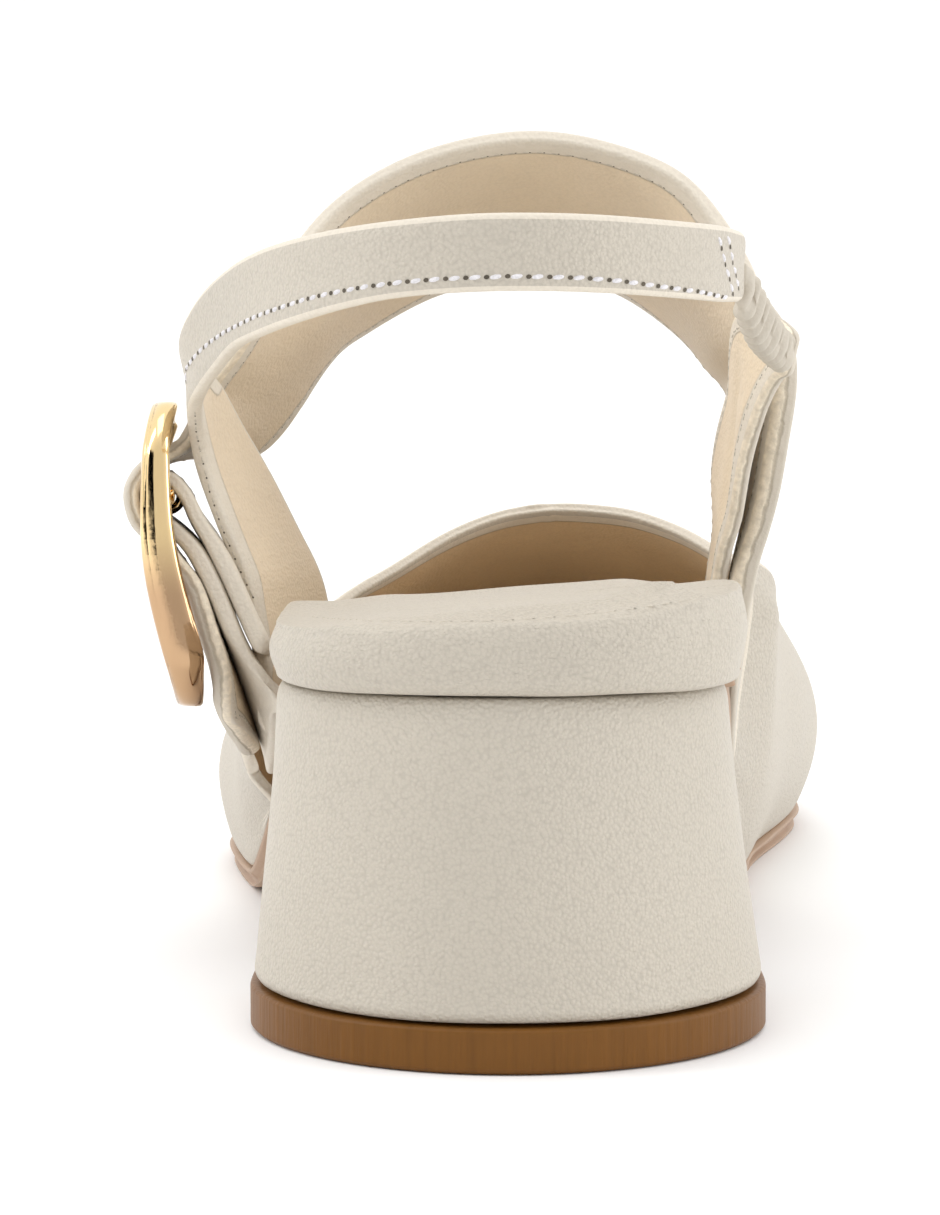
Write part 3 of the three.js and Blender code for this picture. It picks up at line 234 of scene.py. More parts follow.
def grain_group():
    """Pebbles of a fine leather grain: height, and a mask of the creases between them"""
    inputs = {"Scale": 1.0, "Unevenness": 0.3}
    group, source, out = new_group("Leather grain", inputs, ["Height", "Creases"])
    spot = scaled_vector(group, source, "Scale")
    warp = add_node(group, "ShaderNodeTexNoise", Scale=0.6, Detail=2.0)
    group.links.new(spot, warp.inputs["Vector"])
    shift = add_node(group, "ShaderNodeVectorMath", {"operation": "SCALE"})
    group.links.new(warp.outputs["Color"], shift.inputs[0])
    group.links.new(source.outputs["Unevenness"], shift.inputs["Scale"])
    moved = add_node(group, "ShaderNodeVectorMath", {"operation": "ADD"})
    group.links.new(spot, moved.inputs[0])
    group.links.new(shift.outputs["Vector"], moved.inputs[1])
    cells = add_node(group, "ShaderNodeTexVoronoi", {"feature": "SMOOTH_F1"}, Scale=1.0, Smoothness=0.35)
    group.links.new(moved.outputs["Vector"], cells.inputs["Vector"])
    rough = add_node(group, "ShaderNodeTexNoise", Scale=2.3, Detail=3.0)
    group.links.new(spot, rough.inputs["Vector"])
    pebbles = math_node(group, "SUBTRACT", 1.0, cells.outputs["Distance"])
    fine_share = 0.35
    fine = math_node(group, "MULTIPLY", rough.outputs["Fac"], fine_share)
    group.links.new(math_node(group, "ADD", pebbles, fine), out.inputs["Height"])
    creases = add_node(group, "ShaderNodeMapRange", From_Min=0.35, From_Max=0.8, To_Min=0.0, To_Max=1.0)
    group.links.new(cells.outputs["Distance"], creases.inputs["Value"])
    group.links.new(creases.outputs["Result"], out.inputs["Creases"])
    return group


def noise_group(name, output, detail, roughness):
    """Noise between 0 and 1, stronger or weaker round its middle"""
    group, source, out = new_group(name, {"Scale": 1.0, "Contrast": 1.0}, [output])
    spot = scaled_vector(group, source, "Scale")
    waves = add_node(group, "ShaderNodeTexNoise", Scale=1.0, Detail=detail, Roughness=roughness)
    group.links.new(spot, waves.inputs["Vector"])
    middle = 0.5
    centred = math_node(group, "SUBTRACT", waves.outputs["Fac"], middle)
    strong = math_node(group, "MULTIPLY", centred, source.outputs["Contrast"])
    group.links.new(math_node(group, "ADD", strong, middle, clamp=True), out.inputs[output])
    return group


def mottle_group():
    """Slow changes of shade over a hide or a surface"""
    return noise_group("Mottle", "Shade", detail=4.0, roughness=0.55)


def lines_group():
    """Fine drawn-out lines, for a vector that was squeezed before"""
    return noise_group("Fine lines", "Height", detail=5.0, roughness=0.6)


def shared_group(name):
    """A node group by name, built the first time it is asked for"""
    makers = {"Leather grain": grain_group, "Mottle": mottle_group, "Fine lines": lines_group}
    return bpy.data.node_groups.get(name) or makers[name]()


def group_node(tree, name, vector, **inputs):
    """A shared node group placed in a material"""
    node = add_node(tree, "ShaderNodeGroup", {"node_tree": shared_group(name)})
    tree.links.new(vector, node.inputs["Vector"])
    for socket, value in inputs.items():
        node.inputs[socket].default_value = value
    return node


def new_material(name, **surface):
    """A material with its Principled shader and its object coordinates"""
    material = bpy.data.materials.new(name)
    material.use_nodes = True
    tree = material.node_tree
    shader = tree.nodes["Principled BSDF"]
    for socket, value in surface.items():
        shader.inputs[socket.replace("_", " ")].default_value = value
    spot = tree.nodes.new("ShaderNodeTexCoord").outputs["Object"]
    return material, tree, shader, spot


def link_surface(tree, shader, **sockets):
    """Links sockets to the inputs of a shader"""
    for name, socket in sockets.items():
        tree.links.new(socket, shader.inputs[name.replace("_", " ")])


def rgba(colour, factor=1.0):
    """A colour, lighter or darker by a factor, with full alpha"""
    return tuple(min(channel * factor, 1.0) for channel in colour) + (1.0,)


def mixed_colour(tree, mask, low, high):
    """A colour between two, by a mask socket"""
    mix = add_node(tree, "ShaderNodeMix", {"data_type": "RGBA"})
    tree.links.new(mask, mix.inputs["Factor"])
    for socket, value in (("A", low), ("B", high)):
        target = next(s for s in mix.inputs if s.name == socket and s.type == "RGBA")
        if isinstance(value, tuple):
            target.default_value = value
        else:
            tree.links.new(value, target)
    return next(s for s in mix.outputs if s.type == "RGBA")


def bump(tree, height, distance, strength=1.0, under=None):
    """A bump node's normal; under is a coarser bump's normal"""
    node = add_node(tree, "ShaderNodeBump", Distance=distance, Strength=strength)
    tree.links.new(height, node.inputs["Height"])
    if under is not None:
        tree.links.new(under, node.inputs["Normal"])
    return node.outputs["Normal"]


def stretched(tree, spot, scale):
    """Coordinates squeezed along some axes, for lines"""
    mapping = add_node(tree, "ShaderNodeMapping", Scale=scale)
    tree.links.new(spot, mapping.inputs["Vector"])
    return mapping.outputs["Vector"]


def leather_surface(tree, spot, colour, grain, mottling, wrinkles):
    """Colour, normal and shade of a fine pebbled hide, for a leather's shader"""
    pitch = bpy.context.scene.shoe_sizes.grain_size
    pebbles = group_node(tree, "Leather grain", spot, Scale=1.0 / pitch, Unevenness=0.35)
    mottle = group_node(tree, "Mottle", spot, Scale=45.0, Contrast=1.6)
    dark = rgba(colour, 1 - mottling)
    light = rgba(colour, 1 + 0.5 * mottling)
    hide = mixed_colour(tree, mottle.outputs["Shade"], dark, light)
    # painted shade: the creases between the pebbles are darkened in the colour
    painted_crease_shade = math_node(tree, "MULTIPLY", pebbles.outputs["Creases"], CREASE_SHADE_SHARE * grain)
    final = mixed_colour(tree, painted_crease_shade, hide, rgba(colour, CREASE_PAINTED_SHADE))
    wide = group_node(tree, "Mottle", spot, Scale=160.0, Contrast=1.0)
    normal = bump(tree, wide.outputs["Shade"], distance=0.4 * MM, strength=0.2)
    if wrinkles:
        lines = group_node(tree, "Fine lines", stretched(tree, spot, wrinkles), Scale=1.0, Contrast=2.2)
        normal = bump(tree, lines.outputs["Height"], distance=0.3 * MM, strength=0.45, under=normal)
    normal = bump(tree, pebbles.outputs["Height"], distance=0.2 * MM, strength=0.9 * grain, under=normal)
    return final, normal, mottle.outputs["Shade"]


def leather_material(name, colour, grain=1.0, roughness=0.5, wrinkles=None, mottling=0.05):
    """Fine pebbled leather. wrinkles squeezes the coordinates for soft creases across a piece."""
    material, tree, shader, spot = new_material(name, Roughness=roughness)
    final, normal, shade = leather_surface(tree, spot, colour, grain, mottling, wrinkles)
    shine = add_node(tree, "ShaderNodeMapRange", To_Min=roughness - 0.06, To_Max=roughness + 0.08)
    tree.links.new(shade, shine.inputs["Value"])
    link_surface(tree, shader, Base_Color=final, Normal=normal, Roughness=shine.outputs["Result"])
    return material


def own_value(tree, name):
    """A value that the piece's points carry"""
    return add_node(tree, "ShaderNodeAttribute", {"attribute_name": name}).outputs["Fac"]


def ramp(tree, value, low, high, to_low=0.0, to_high=1.0):
    """A smooth change from one number to another between two limits of a value"""
    node = add_node(tree, "ShaderNodeMapRange", {"interpolation_type": "SMOOTHSTEP"},
                    From_Min=low, From_Max=high, To_Min=to_low, To_Max=to_high)
    tree.links.new(value, node.inputs["Value"])
    return node.outputs["Result"]


def band(tree, value, rise, fall):
    """1 between the two limits where a value rises and the two where it falls, and 0 outside them"""
    falling = ramp(tree, value, *fall, to_low=1.0, to_high=0.0)
    return math_node(tree, "MULTIPLY", ramp(tree, value, *rise), falling)


def cream_leather():
    return leather_material("Cream leather", bpy.context.scene.shoe_colours.cream)


def rim_leather():
    cream = bpy.context.scene.shoe_colours.cream
    return leather_material("Rim leather", cream, wrinkles=(300.0, 300.0, 1500.0))


def turned_leather_painted_lighter():
    """Outer leather turned over an edge, painted lighter than the cream leather: painted light"""
    painted_light_cream = [channel * TURNED_PAINTED_LIGHT for channel in bpy.context.scene.shoe_colours.cream]
    return leather_material("Turned leather painted lighter", painted_light_cream, grain=0.5)


def lining_leather(name="Lining leather", tint=(1.0, 1.0, 1.0), turned=TURNED_PAINTED_LIGHT):
    """Lining with the outer leather turned over its edges, painted lighter there as painted light. The
    points carry their distance to the edge.
    """
    colours = bpy.context.scene.shoe_colours
    margin = bpy.context.scene.shoe_sizes.lining_margin
    material, tree, shader, spot = new_material(name, Roughness=0.55)
    hide = [channel * share for channel, share in zip(colours.lining, tint)]
    inner, normal, shade = leather_surface(
        tree, spot, hide, grain=0.45, mottling=0.08, wrinkles=(120.0, 120.0, 420.0))
    edge = own_value(tree, "edge")
    inside = ramp(tree, edge, margin - 0.12 * MM, margin + 0.12 * MM)
    # painted light: the turned-over margin is the cream painted lighter by the turned factor
    colour = mixed_colour(tree, inside, rgba(colours.cream, turned), inner)
    line = band(tree, edge, (margin - 0.3 * MM, margin), (margin, margin + 0.35 * MM))
    line_share = 0.4
    in_line = math_node(tree, "MULTIPLY", line, line_share)
    final = mixed_colour(tree, in_line, colour, rgba(colours.lining, 0.45))
    height = math_node(tree, "SUBTRACT", 1.0, inside)
    step = bump(tree, height, distance=0.25 * MM, strength=0.6, under=normal)
    shine = ramp(tree, shade, 0.0, 1.0, to_low=0.48, to_high=0.62)
    link_surface(tree, shader, Base_Color=final, Normal=step, Roughness=shine)
    return material


def vamp_lining_painted_light():
    """Lining of the vamp, warmer in hue than the rest and painted lighter to stand in for light inside the
    toe; its turned edge is painted lighter still
    """
    return lining_leather("Vamp lining painted lighter", tint=(1.18, 1.06, 0.9), turned=VAMP_TURNED_PAINTED_LIGHT)


def raw_edge():
    """Cut edges: the outer leather and the lining glued together, with the seam between them"""
    colours = bpy.context.scene.shoe_colours
    material, tree, shader, spot = new_material("Raw edge", Roughness=0.75)
    drawn = stretched(tree, spot, (900.0, 700.0, 900.0))
    fibres = group_node(tree, "Fine lines", drawn, Scale=1.0, Contrast=2.4).outputs["Height"]
    wobble = group_node(tree, "Mottle", spot, Scale=500.0, Contrast=0.25)
    layer = math_node(tree, "ADD", own_value(tree, "layer"), wobble.outputs["Shade"])
    outer = ramp(tree, layer, 0.98, 1.06)
    fleshy = mixed_colour(tree, fibres, rgba(colours.raw_edge, 0.78), rgba(colours.raw_edge, 1.15))
    colour = mixed_colour(tree, outer, fleshy, rgba(colours.cream, 1.08))
    line = band(tree, layer, (0.9, 0.98), (1.0, 1.08))
    line_share = 0.5
    in_line = math_node(tree, "MULTIPLY", line, line_share)
    final = mixed_colour(tree, in_line, colour, rgba(colours.lining, 0.3))
    height = math_node(tree, "SUBTRACT", fibres, line)
    normal = bump(tree, height, distance=0.15 * MM, strength=0.6)
    link_surface(tree, shader, Base_Color=final, Normal=normal)
    return material


def sole_leather():
    """Tan sole, slightly mottled and rough"""
    tan = bpy.context.scene.shoe_colours.sole
    material, tree, shader, spot = new_material("Sole", Roughness=0.5)
    mottle = group_node(tree, "Mottle", spot, Scale=70.0, Contrast=1.8)
    fine = group_node(tree, "Mottle", spot, Scale=1400.0, Contrast=1.2)
    colour = mixed_colour(tree, mottle.outputs["Shade"], rgba(tan, 0.88), rgba(tan, 1.1))
    pores = bump(tree, fine.outputs["Shade"], distance=0.12 * MM, strength=0.4)
    link_surface(tree, shader, Base_Color=colour, Normal=pores)
    return material


def brushed_top_piece():
    """Brown top piece with fine upright lines from its trimming"""
    brown = bpy.context.scene.shoe_colours.top_piece
    material, tree, shader, spot = new_material("Brushed top piece", Roughness=0.42, Specular_IOR_Level=0.22)
    upright = stretched(tree, spot, (1100.0, 1100.0, 60.0))
    lines = group_node(tree, "Fine lines", upright, Scale=1.0, Contrast=1.8).outputs["Height"]
    mottle = group_node(tree, "Mottle", spot, Scale=120.0, Contrast=1.4)
    streaked = mixed_colour(tree, lines, rgba(brown, 0.82), rgba(brown, 1.16))
    faded_share = 0.35
    faded = math_node(tree, "MULTIPLY", mottle.outputs["Shade"], faded_share)
    colour = mixed_colour(tree, faded, streaked, rgba(brown, 1.45))
    grooves = bump(tree, lines, distance=0.15 * MM, strength=0.5)
    link_surface(tree, shader, Base_Color=colour, Normal=grooves)
    return material


def gold_plating():
    """Polished plating, yellow at the top, and painted darker and rosier on its lower half as a painted
    reflection, with small scratches.
    The points carry their place across the face, which the light shows as rounded."""
    colours = bpy.context.scene.shoe_colours
    material, tree, shader, spot = new_material("Gold plating", Roughness=0.12, Metallic=1.0)
    mottle = group_node(tree, "Mottle", spot, Scale=160.0, Contrast=1.2).outputs["Shade"]
    upright = stretched(tree, spot, (2500.0, 2500.0, 500.0))
    scratches = group_node(tree, "Fine lines", upright, Scale=1.0, Contrast=1.2).outputs["Height"]
    parts = add_node(tree, "ShaderNodeSeparateXYZ")
    tree.links.new(spot, parts.inputs["Vector"])
    # painted reflection: darker and rosier below, blended by height
    painted_reflection_mask = ramp(tree, parts.outputs["Z"], 50 * MM, 60 * MM, to_low=1.0, to_high=0.0)
    bright = mixed_colour(tree, mottle, rgba(colours.gold, 0.95), rgba(colours.gold, 1.05))
    colour = mixed_colour(tree, painted_reflection_mask, bright, rgba(colours.lower_gold_painted_reflection))
    shine = ramp(tree, scratches, 0.3, 0.9, to_low=0.07, to_high=0.2)
    waves = bump(tree, mottle, distance=0.2 * MM, strength=0.25)
    across = own_value(tree, "across")
    rise = math_node(tree, "SUBTRACT", 1.0, math_node(tree, "MULTIPLY", across, across))
    rounded = bump(tree, rise, distance=0.5 * MM, under=waves)
    link_surface(tree, shader, Base_Color=colour, Normal=rounded, Roughness=shine)
    return material


def new_thread(name, colour, dark, light, contrast):
    """A thread's material with the lines of its twist, and what a bump on it needs"""
    material, tree, shader, spot = new_material(name, Roughness=0.6)
    drawn = stretched(tree, spot, (3500.0, 2500.0, 3500.0))
    twist = group_node(tree, "Fine lines", drawn, Scale=1.0, Contrast=contrast).outputs["Height"]
    mixed = mixed_colour(tree, twist, rgba(colour, dark), rgba(colour, light))
    link_surface(tree, shader, Base_Color=mixed)
    return material, tree, shader, twist


def thread_material():
    """Thick pale thread of the seams on the sling"""
    pale = bpy.context.scene.shoe_colours.thread
    material, tree, shader, twist = new_thread("Thread", pale, dark=0.75, light=1.25, contrast=1.6)
    link_surface(tree, shader, Normal=bump(tree, twist, distance=0.1 * MM, strength=0.7))
    return material


def fine_thread():
    """Thin thread in the leather's own colour"""
    cream = bpy.context.scene.shoe_colours.cream
    return new_thread("Fine thread", cream, dark=0.85, light=1.2, contrast=1.4)[0]


def needle_hole_shade():
    """Painted shade of a needle hole: a flat dark disc where the hole's shadow falls"""
    lining = bpy.context.scene.shoe_colours.lining
    material, tree, shader, spot = new_material("Needle hole shade", Roughness=0.9)
    mottle = group_node(tree, "Mottle", spot, Scale=900.0, Contrast=1.5)
    colour = mixed_colour(tree, mottle.outputs["Shade"], rgba(lining, 0.06), rgba(lining, 0.2))
    link_surface(tree, shader, Base_Color=colour)
    return material


def elastic_cover():
    cream = bpy.context.scene.shoe_colours.cream
    return leather_material("Elastic cover", cream, grain=0.25, roughness=0.6, mottling=0.1)


def floor_material():
    """Nearly white floor"""
    white = (1.0, 1.0, 1.0)
    material, tree, shader, spot = new_material("Floor", Roughness=0.7)
    mottle = group_node(tree, "Mottle", spot, Scale=9.0, Contrast=0.6)
    colour = mixed_colour(tree, mottle.outputs["Shade"], rgba(white, 0.95), rgba(white, 0.96))
    link_surface(tree, shader, Base_Color=colour)
    return material


MATERIALS = {
    "cream": cream_leather,
    "rim": rim_leather,
    "lining": lining_leather,
    "raw": raw_edge,
    "sole": sole_leather,
    "top_piece": brushed_top_piece,
    "gold": gold_plating,
    "thread": thread_material,
    "turned": turned_leather_painted_lighter,
    "vamp_lining_painted_light": vamp_lining_painted_light,
    "fine_thread": fine_thread,
    "hole": needle_hole_shade,
    "elastic": elastic_cover,
    "floor": floor_material,
}
made_materials = {}


def finish(name):
    """A finish by name, made the first time it is asked for"""
    if name not in made_materials:
        made_materials[name] = MATERIALS[name]()
    return made_materials[name]


# Meshes


def merged_copy(node):
    """A bmesh of a CAD node, welded and with its triangles joined into quads"""
    bm = bmesh.new()
    bm.from_mesh(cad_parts[node].data)
    bmesh.ops.remove_doubles(bm, verts=bm.verts, dist=WELD)
    bmesh.ops.join_triangles(bm, faces=bm.faces, angle_face_threshold=0.5, angle_shape_threshold=1.2)
    bm.normal_update()
    return bm


def is_sharp(edge):
    return len(edge.link_faces) == 2 and edge.calc_face_angle() > SHARP


def sort_faces(bm, axis):
    """Gives each face the slot OUTER, LINING or EDGE. The two largest regions between sharp edges are
    the sides, and the side that looks to the axis, a point for each y, is the lining."""
    unseen = set(bm.faces)
    regions = []
    while unseen:
        start = min(unseen, key=lambda face: face.index)
        unseen.discard(start)
        region = [start]
        for face in region:
            for edge in face.edges:
                if is_sharp(edge):
                    continue
                for other in edge.link_faces:
                    if other in unseen:
                        unseen.discard(other)
                        region.append(other)
        regions.append(region)
    regions.sort(key=lambda region: -sum(face.calc_area() for face in region))
    for region in regions[2:]:
        for face in region:
            face.material_index = EDGE
    for region in regions[:2]:
        inward = 0.0
        for face in region:
            spot = face.calc_center_median()
            inward += face.normal.dot((axis(spot) - spot).normalized()) * face.calc_area()
        for face in region:
            face.material_index = LINING if inward > 0 else OUTER


def add_loops(bm, heights):
    """Level loops round a piece, which keep its flanks straight when it is smoothed"""
    for height in heights:
        everything = bm.verts[:] + bm.edges[:] + bm.faces[:]
        bmesh.ops.bisect_plane(bm, geom=everything, plane_co=(0, 0, height), plane_no=(0, 0, 1))


def smoothed(bm, levels, name, keep_rims=False):
    """The bmesh with a Subdivision Surface applied, whose cage is moved until the smooth surface
    goes through the corners of the rough one. keep_rims holds sharp edges and softens them slightly."""
    if keep_rims:
        creases = bm.edges.layers.float.new("crease_edge")
        for edge in filter(is_sharp, bm.edges):
            edge[creases] = 1.0
    mesh = bpy.data.meshes.new(name)
    bm.to_mesh(mesh)
    bm.free()
    obj = bpy.data.objects.new(name, mesh)
    bpy.context.scene.collection.objects.link(obj)
    subdivision = obj.modifiers.new("Smooth", "SUBSURF")
    subdivision.levels = levels
    subdivision.render_levels = levels
    goal = [vert.co.copy() for vert in mesh.vertices]
    for _ in range(FIT_ROUNDS):
        evaluated = obj.evaluated_get(bpy.context.evaluated_depsgraph_get())
        fine = evaluated.to_mesh()
        misses = [place - fine.vertices[i].co for i, place in enumerate(goal)]
        evaluated.to_mesh_clear()
        for vert, miss, place in zip(mesh.vertices, misses, goal):
            shift = vert.co + miss * FIT_SHARE - place
            if keep_rims and shift.length > RIM_REACH:
                shift.length = RIM_REACH
            vert.co = place + shift
        mesh.update()
    evaluated = obj.evaluated_get(bpy.context.evaluated_depsgraph_get())
    fine = bmesh.new()
    fine.from_mesh(evaluated.to_mesh())
    evaluated.to_mesh_clear()
    bpy.data.objects.remove(obj)
    bpy.data.meshes.remove(mesh)
    if keep_rims:
        rims = {vert for edge in filter(is_sharp, fine.edges) for vert in edge.verts}
        bmesh.ops.smooth_vert(fine, verts=list(rims), factor=0.5, use_axis_x=True, use_axis_y=True,
                              use_axis_z=True)
    fine.normal_update()
    return fine


def add_piece(name, bm, finishes, replaced=()):
    """A finished piece of the shoe from a bmesh, riding on the shoe"""
    for face in bm.faces:
        face.smooth = True
    mesh = bpy.data.meshes.new(name)
    bm.to_mesh(mesh)
    bm.free()
    obj = bpy.data.objects.new(name, mesh)
    bpy.context.scene.collection.objects.link(obj)
    for key in finishes:
        mesh.materials.append(finish(key))
    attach(obj, "root")
    if replaced:
        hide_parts(*replaced)
    return obj


def border_tree(bm, *sides):
    """A search tree of the points where faces of the sides meet the piece's edge faces"""
    spots = []
    for edge in bm.edges:
        kinds = {face.material_index for face in edge.link_faces}
        if EDGE in kinds and kinds & set(sides):
            spots.append(edge.verts[0].co.copy())
            spots.append((edge.verts[0].co + edge.verts[1].co) / 2)
    tree = KDTree(len(spots))
    for i, spot in enumerate(spots):
        tree.insert(spot, i)
    tree.balance()
    return tree


def measure_edges(bm):
    """Gives each point its distance to the piece's edge, and on the edge its place between the
    lining, 0, and the outer leather, 1"""
    near_edge = bm.verts.layers.float.new("edge")
    in_layers = bm.verts.layers.float.new("layer")
    lining = border_tree(bm, LINING)
    outer = border_tree(bm, OUTER)
    for vert in bm.verts:
        from_lining = lining.find(vert.co)[2]
        from_outer = outer.find(vert.co)[2]
        vert[near_edge] = min(from_lining, from_outer)
        vert[in_layers] = from_lining / max(from_lining + from_outer, WELD)


def swell(bm, amount, where):
    """Moves the points of a piece outwards, by a share for each place"""
    bm.normal_update()
    moves = [(vert, vert.normal * (amount * where(vert.co))) for vert in bm.verts]
    for vert, move in moves:
        vert.co += move


def fade(value, low, high):
    """0 below low, 1 above high, and smooth between them"""
    share = min(max((value - low) / (high - low), 0.0), 1.0)
    return share * share * (3 - 2 * share)


def crease(bm, points, width, depth, side):
    """Presses a line of points into the side of a piece that looks a certain way, deepest in the
    line's middle part. A negative depth raises it."""
    reach = 3.0
    ends_share = 0.2
    pairs = list(zip(points, points[1:]))
    moves = []
    for vert in bm.verts:
        if vert.normal.dot(side) < 0:
            continue
        best = None
        for i, (start, end) in enumerate(pairs):
            run = end - start
            share = (vert.co - start).dot(run) / run.length_squared
            inside = min(max(share, 0.0), 1.0)
            away = (vert.co - start - run * inside).length
            if best is None or away < best[0]:
                best = (away, (i + inside) / len(pairs))
        away, along = best
        if away < reach * width:
            ends = min(along, 1 - along) / ends_share
            moves.append((vert, min(ends, 1.0) * depth * math.exp(-((away / width) ** 2))))
    for vert, move in moves:
        vert.co -= side * move


def ripple(bm, size, depth, stretch=(1, 1, 1), where=lambda spot: 1.0):
    """Slow uneven waves over a soft piece"""
    moves = []
    for vert in bm.verts:
        share = where(vert.co)
        if share <= 0:
            continue
        spot = Vector(c * s / size for c, s in zip(vert.co, stretch))
        moves.append((vert, vert.normal.copy() * (noise.noise(spot) * depth * share)))
    for vert, move in moves:
        vert.co += move


def seam_lines(bm, side):
    """Ordered lines of points where faces of a side meet the piece's edge faces, each point with the
    side's normal and the way inwards"""
    links = {}
    facts = {}
    for edge in bm.edges:
        if len(edge.link_faces) != 2:
            continue
        kinds = {face.material_index: face for face in edge.link_faces}
        if side not in kinds or EDGE not in kinds:
            continue
        face = kinds[side]
        for vert in edge.verts:
            links.setdefault(vert, []).append(edge.other_vert(vert))
            inward = face.calc_center_median() - vert.co
            normal, way = facts.get(vert, (Vector(), Vector()))
            facts[vert] = (normal + face.normal, way + inward)
    lines = []
    unseen = set(links)
    while unseen:
        start = min(unseen, key=lambda v: (len(links[v]), v.index))
        line = [start]
        unseen.discard(start)
        while True:
            ahead = [v for v in links[line[-1]] if v in unseen]
            if not ahead:
                break
            line.append(ahead[0])
            unseen.discard(ahead[0])
        if links[line[-1]].count(start):
            line.append(start)
        lines.append([(v.co.copy(), facts[v][0].normalized(), facts[v][1].normalized()) for v in line])
    return [line for line in lines if len(line) > 2]


def spaced(points, pitch):
    """Points at equal steps along a line of (place, normal, inward), with the way along it"""
    out = []
    travelled = 0.0
    goal = pitch / 2
    for start, end in zip(points, points[1:]):
        run = end[0] - start[0]
        while run.length > 0 and travelled + run.length >= goal:
            share = (goal - travelled) / run.length
            between = [a.lerp(b, share) for a, b in zip(start, end)]
            out.append((*between, run.normalized()))
            goal += pitch
        travelled += run.length
    return out


def edge_seam(bm, side, margin, pitch, keep):
    """Stitch places at a margin inside a piece's edge: (place, normal, along), where keep(place)"""
    tiny = 1e-6
    same_side = 0.3
    tree = BVHTree.FromBMesh(bm)
    places = []
    for line in seam_lines(bm, side):
        for spot, normal, inward, along in spaced(line, pitch):
            flat = inward - inward.project(along)
            flat -= flat.project(normal)
            if flat.length < tiny:
                continue
            near, surface, _, _ = tree.find_nearest(spot + flat.normalized() * margin)
            if near is not None and surface.dot(normal) > same_side and keep(near):
                places.append((near, surface, along))
    return places


def path_seam(bm, points, pitch):
    """Stitch places along a given path, laid on the side of a piece that the camera sees"""
    tree = BVHTree.FromBMesh(bm)

    def laid(point):
        hit, normal, _, _ = tree.ray_cast(CAMERA_SPOT, (point - CAMERA_SPOT).normalized())
        if hit is None:
            hit, normal, _, _ = tree.find_nearest(point)
        return hit, normal

    line = [(*laid(point), Vector((0, 0, 1))) for point in points]
    places = []
    for spot, _, _, along in spaced(line, pitch):
        hit, normal = laid(spot)
        places.append((hit, normal, along))
    return places


def stitches(name, places, length, width, slant=0.0, hole=0.45, thread="fine_thread"):
    """One piece of short rounded threads, each with a flat dark disc of painted shade for the needle hole
    past its end. The threads may slant to the seam, and a hole's radius is a share of the thread's width."""
    sunk = 0.1
    droop = 0.35
    hole_length = 1.25
    hole_place = 0.56
    hole_lift = 0.04 * MM
    bm = bmesh.new()
    for spot, normal, along in places:
        up = normal.normalized()
        straight = (along - along.project(up)).normalized()
        run = (straight + up.cross(straight) * slant).normalized()
        turn = Matrix((run, up.cross(run), up)).transposed().to_4x4()
        turn.translation = spot - up * width * sunk
        body = bmesh.ops.create_uvsphere(bm, u_segments=8, v_segments=5, radius=0.5)["verts"]
        bmesh.ops.scale(bm, vec=(length, width, width), verts=body)
        for vert in body:
            bend = (vert.co.x / (length / 2)) ** 2
            vert.co.z -= droop * width * bend
        bmesh.ops.transform(bm, matrix=turn, verts=body)
        # painted shade: a flat dark disc on the surface for the needle hole
        pit = bmesh.ops.create_circle(bm, cap_ends=True, segments=8, radius=width * hole)["verts"]
        bmesh.ops.scale(bm, vec=(hole_length, 1, 1), verts=pit)
        turn.translation = spot + straight * length * hole_place + up * hole_lift
        bmesh.ops.transform(bm, matrix=turn, verts=pit)
        for face in {f for v in pit for f in v.link_faces}:
            face.material_index = 1
    add_piece(name, bm, [thread, "hole"])


# Pieces


def foot_axis(spot):
    """The middle of the foot's room at a point's distance along the shoe"""
    return Vector((0.001, max(spot.y, 0.025), 0.058))


def vamp_axis(spot):
    """The middle of the toe's room, low enough to be under the vamp's top"""
    share = min(max((spot.y - 0.07) / 0.14, 0), 1)
    return Vector((0.002 + 0.008 * share, spot.y * 0.93 + 0.004, 0.022 - 0.012 * share))


def make_sole():
    bm = smoothed(merged_copy("outsole"), 2, "outsole_shape")
    add_piece("outsole_skin", bm, ["sole"], ["outsole"])


# Heights of the level loops on the heel block and on its top piece
BLOCK_LOOPS = [8.4 * MM, 11 * MM, 38 * MM, 40.5 * MM]
TREAD_LOOPS = [1.2 * MM, 2.8 * MM, 4.6 * MM]


def make_heel():
    block = merged_copy("heel_block")
    add_loops(block, BLOCK_LOOPS)
    block = smoothed(block, 2, "heel_shape", keep_rims=True)
    ripple(block, size=16 * MM, depth=0.12 * MM)
    add_piece("heel_cover", block, ["cream"], ["heel_block"])
    tread = merged_copy("heel_top_piece")
    add_loops(tread, TREAD_LOOPS)
    tread = smoothed(tread, 2, "tread_shape", keep_rims=True)
    add_piece("heel_tread_piece", tread, ["top_piece"], ["heel_top_piece"])


# The seams and folds from here on are spots of the photograph for seen_line()
RIM_SEAM = [
    (308, 617, 9), (330, 619, 6), (372, 621, 4), (430, 622, 3), (500, 621, 2), (560, 617, 2),
    (610, 612, 3), (650, 606, 5), (680, 601, 8), (700, 596, 11)]

# Where the short dents on top of the rim start and how they run, in millimetres
DENT_STARTS = [(-14, 1, 56.5), (4, 1, 56.5), (18, 1, 56.5)]
DENT_RUN = (16, 2.5, 0)


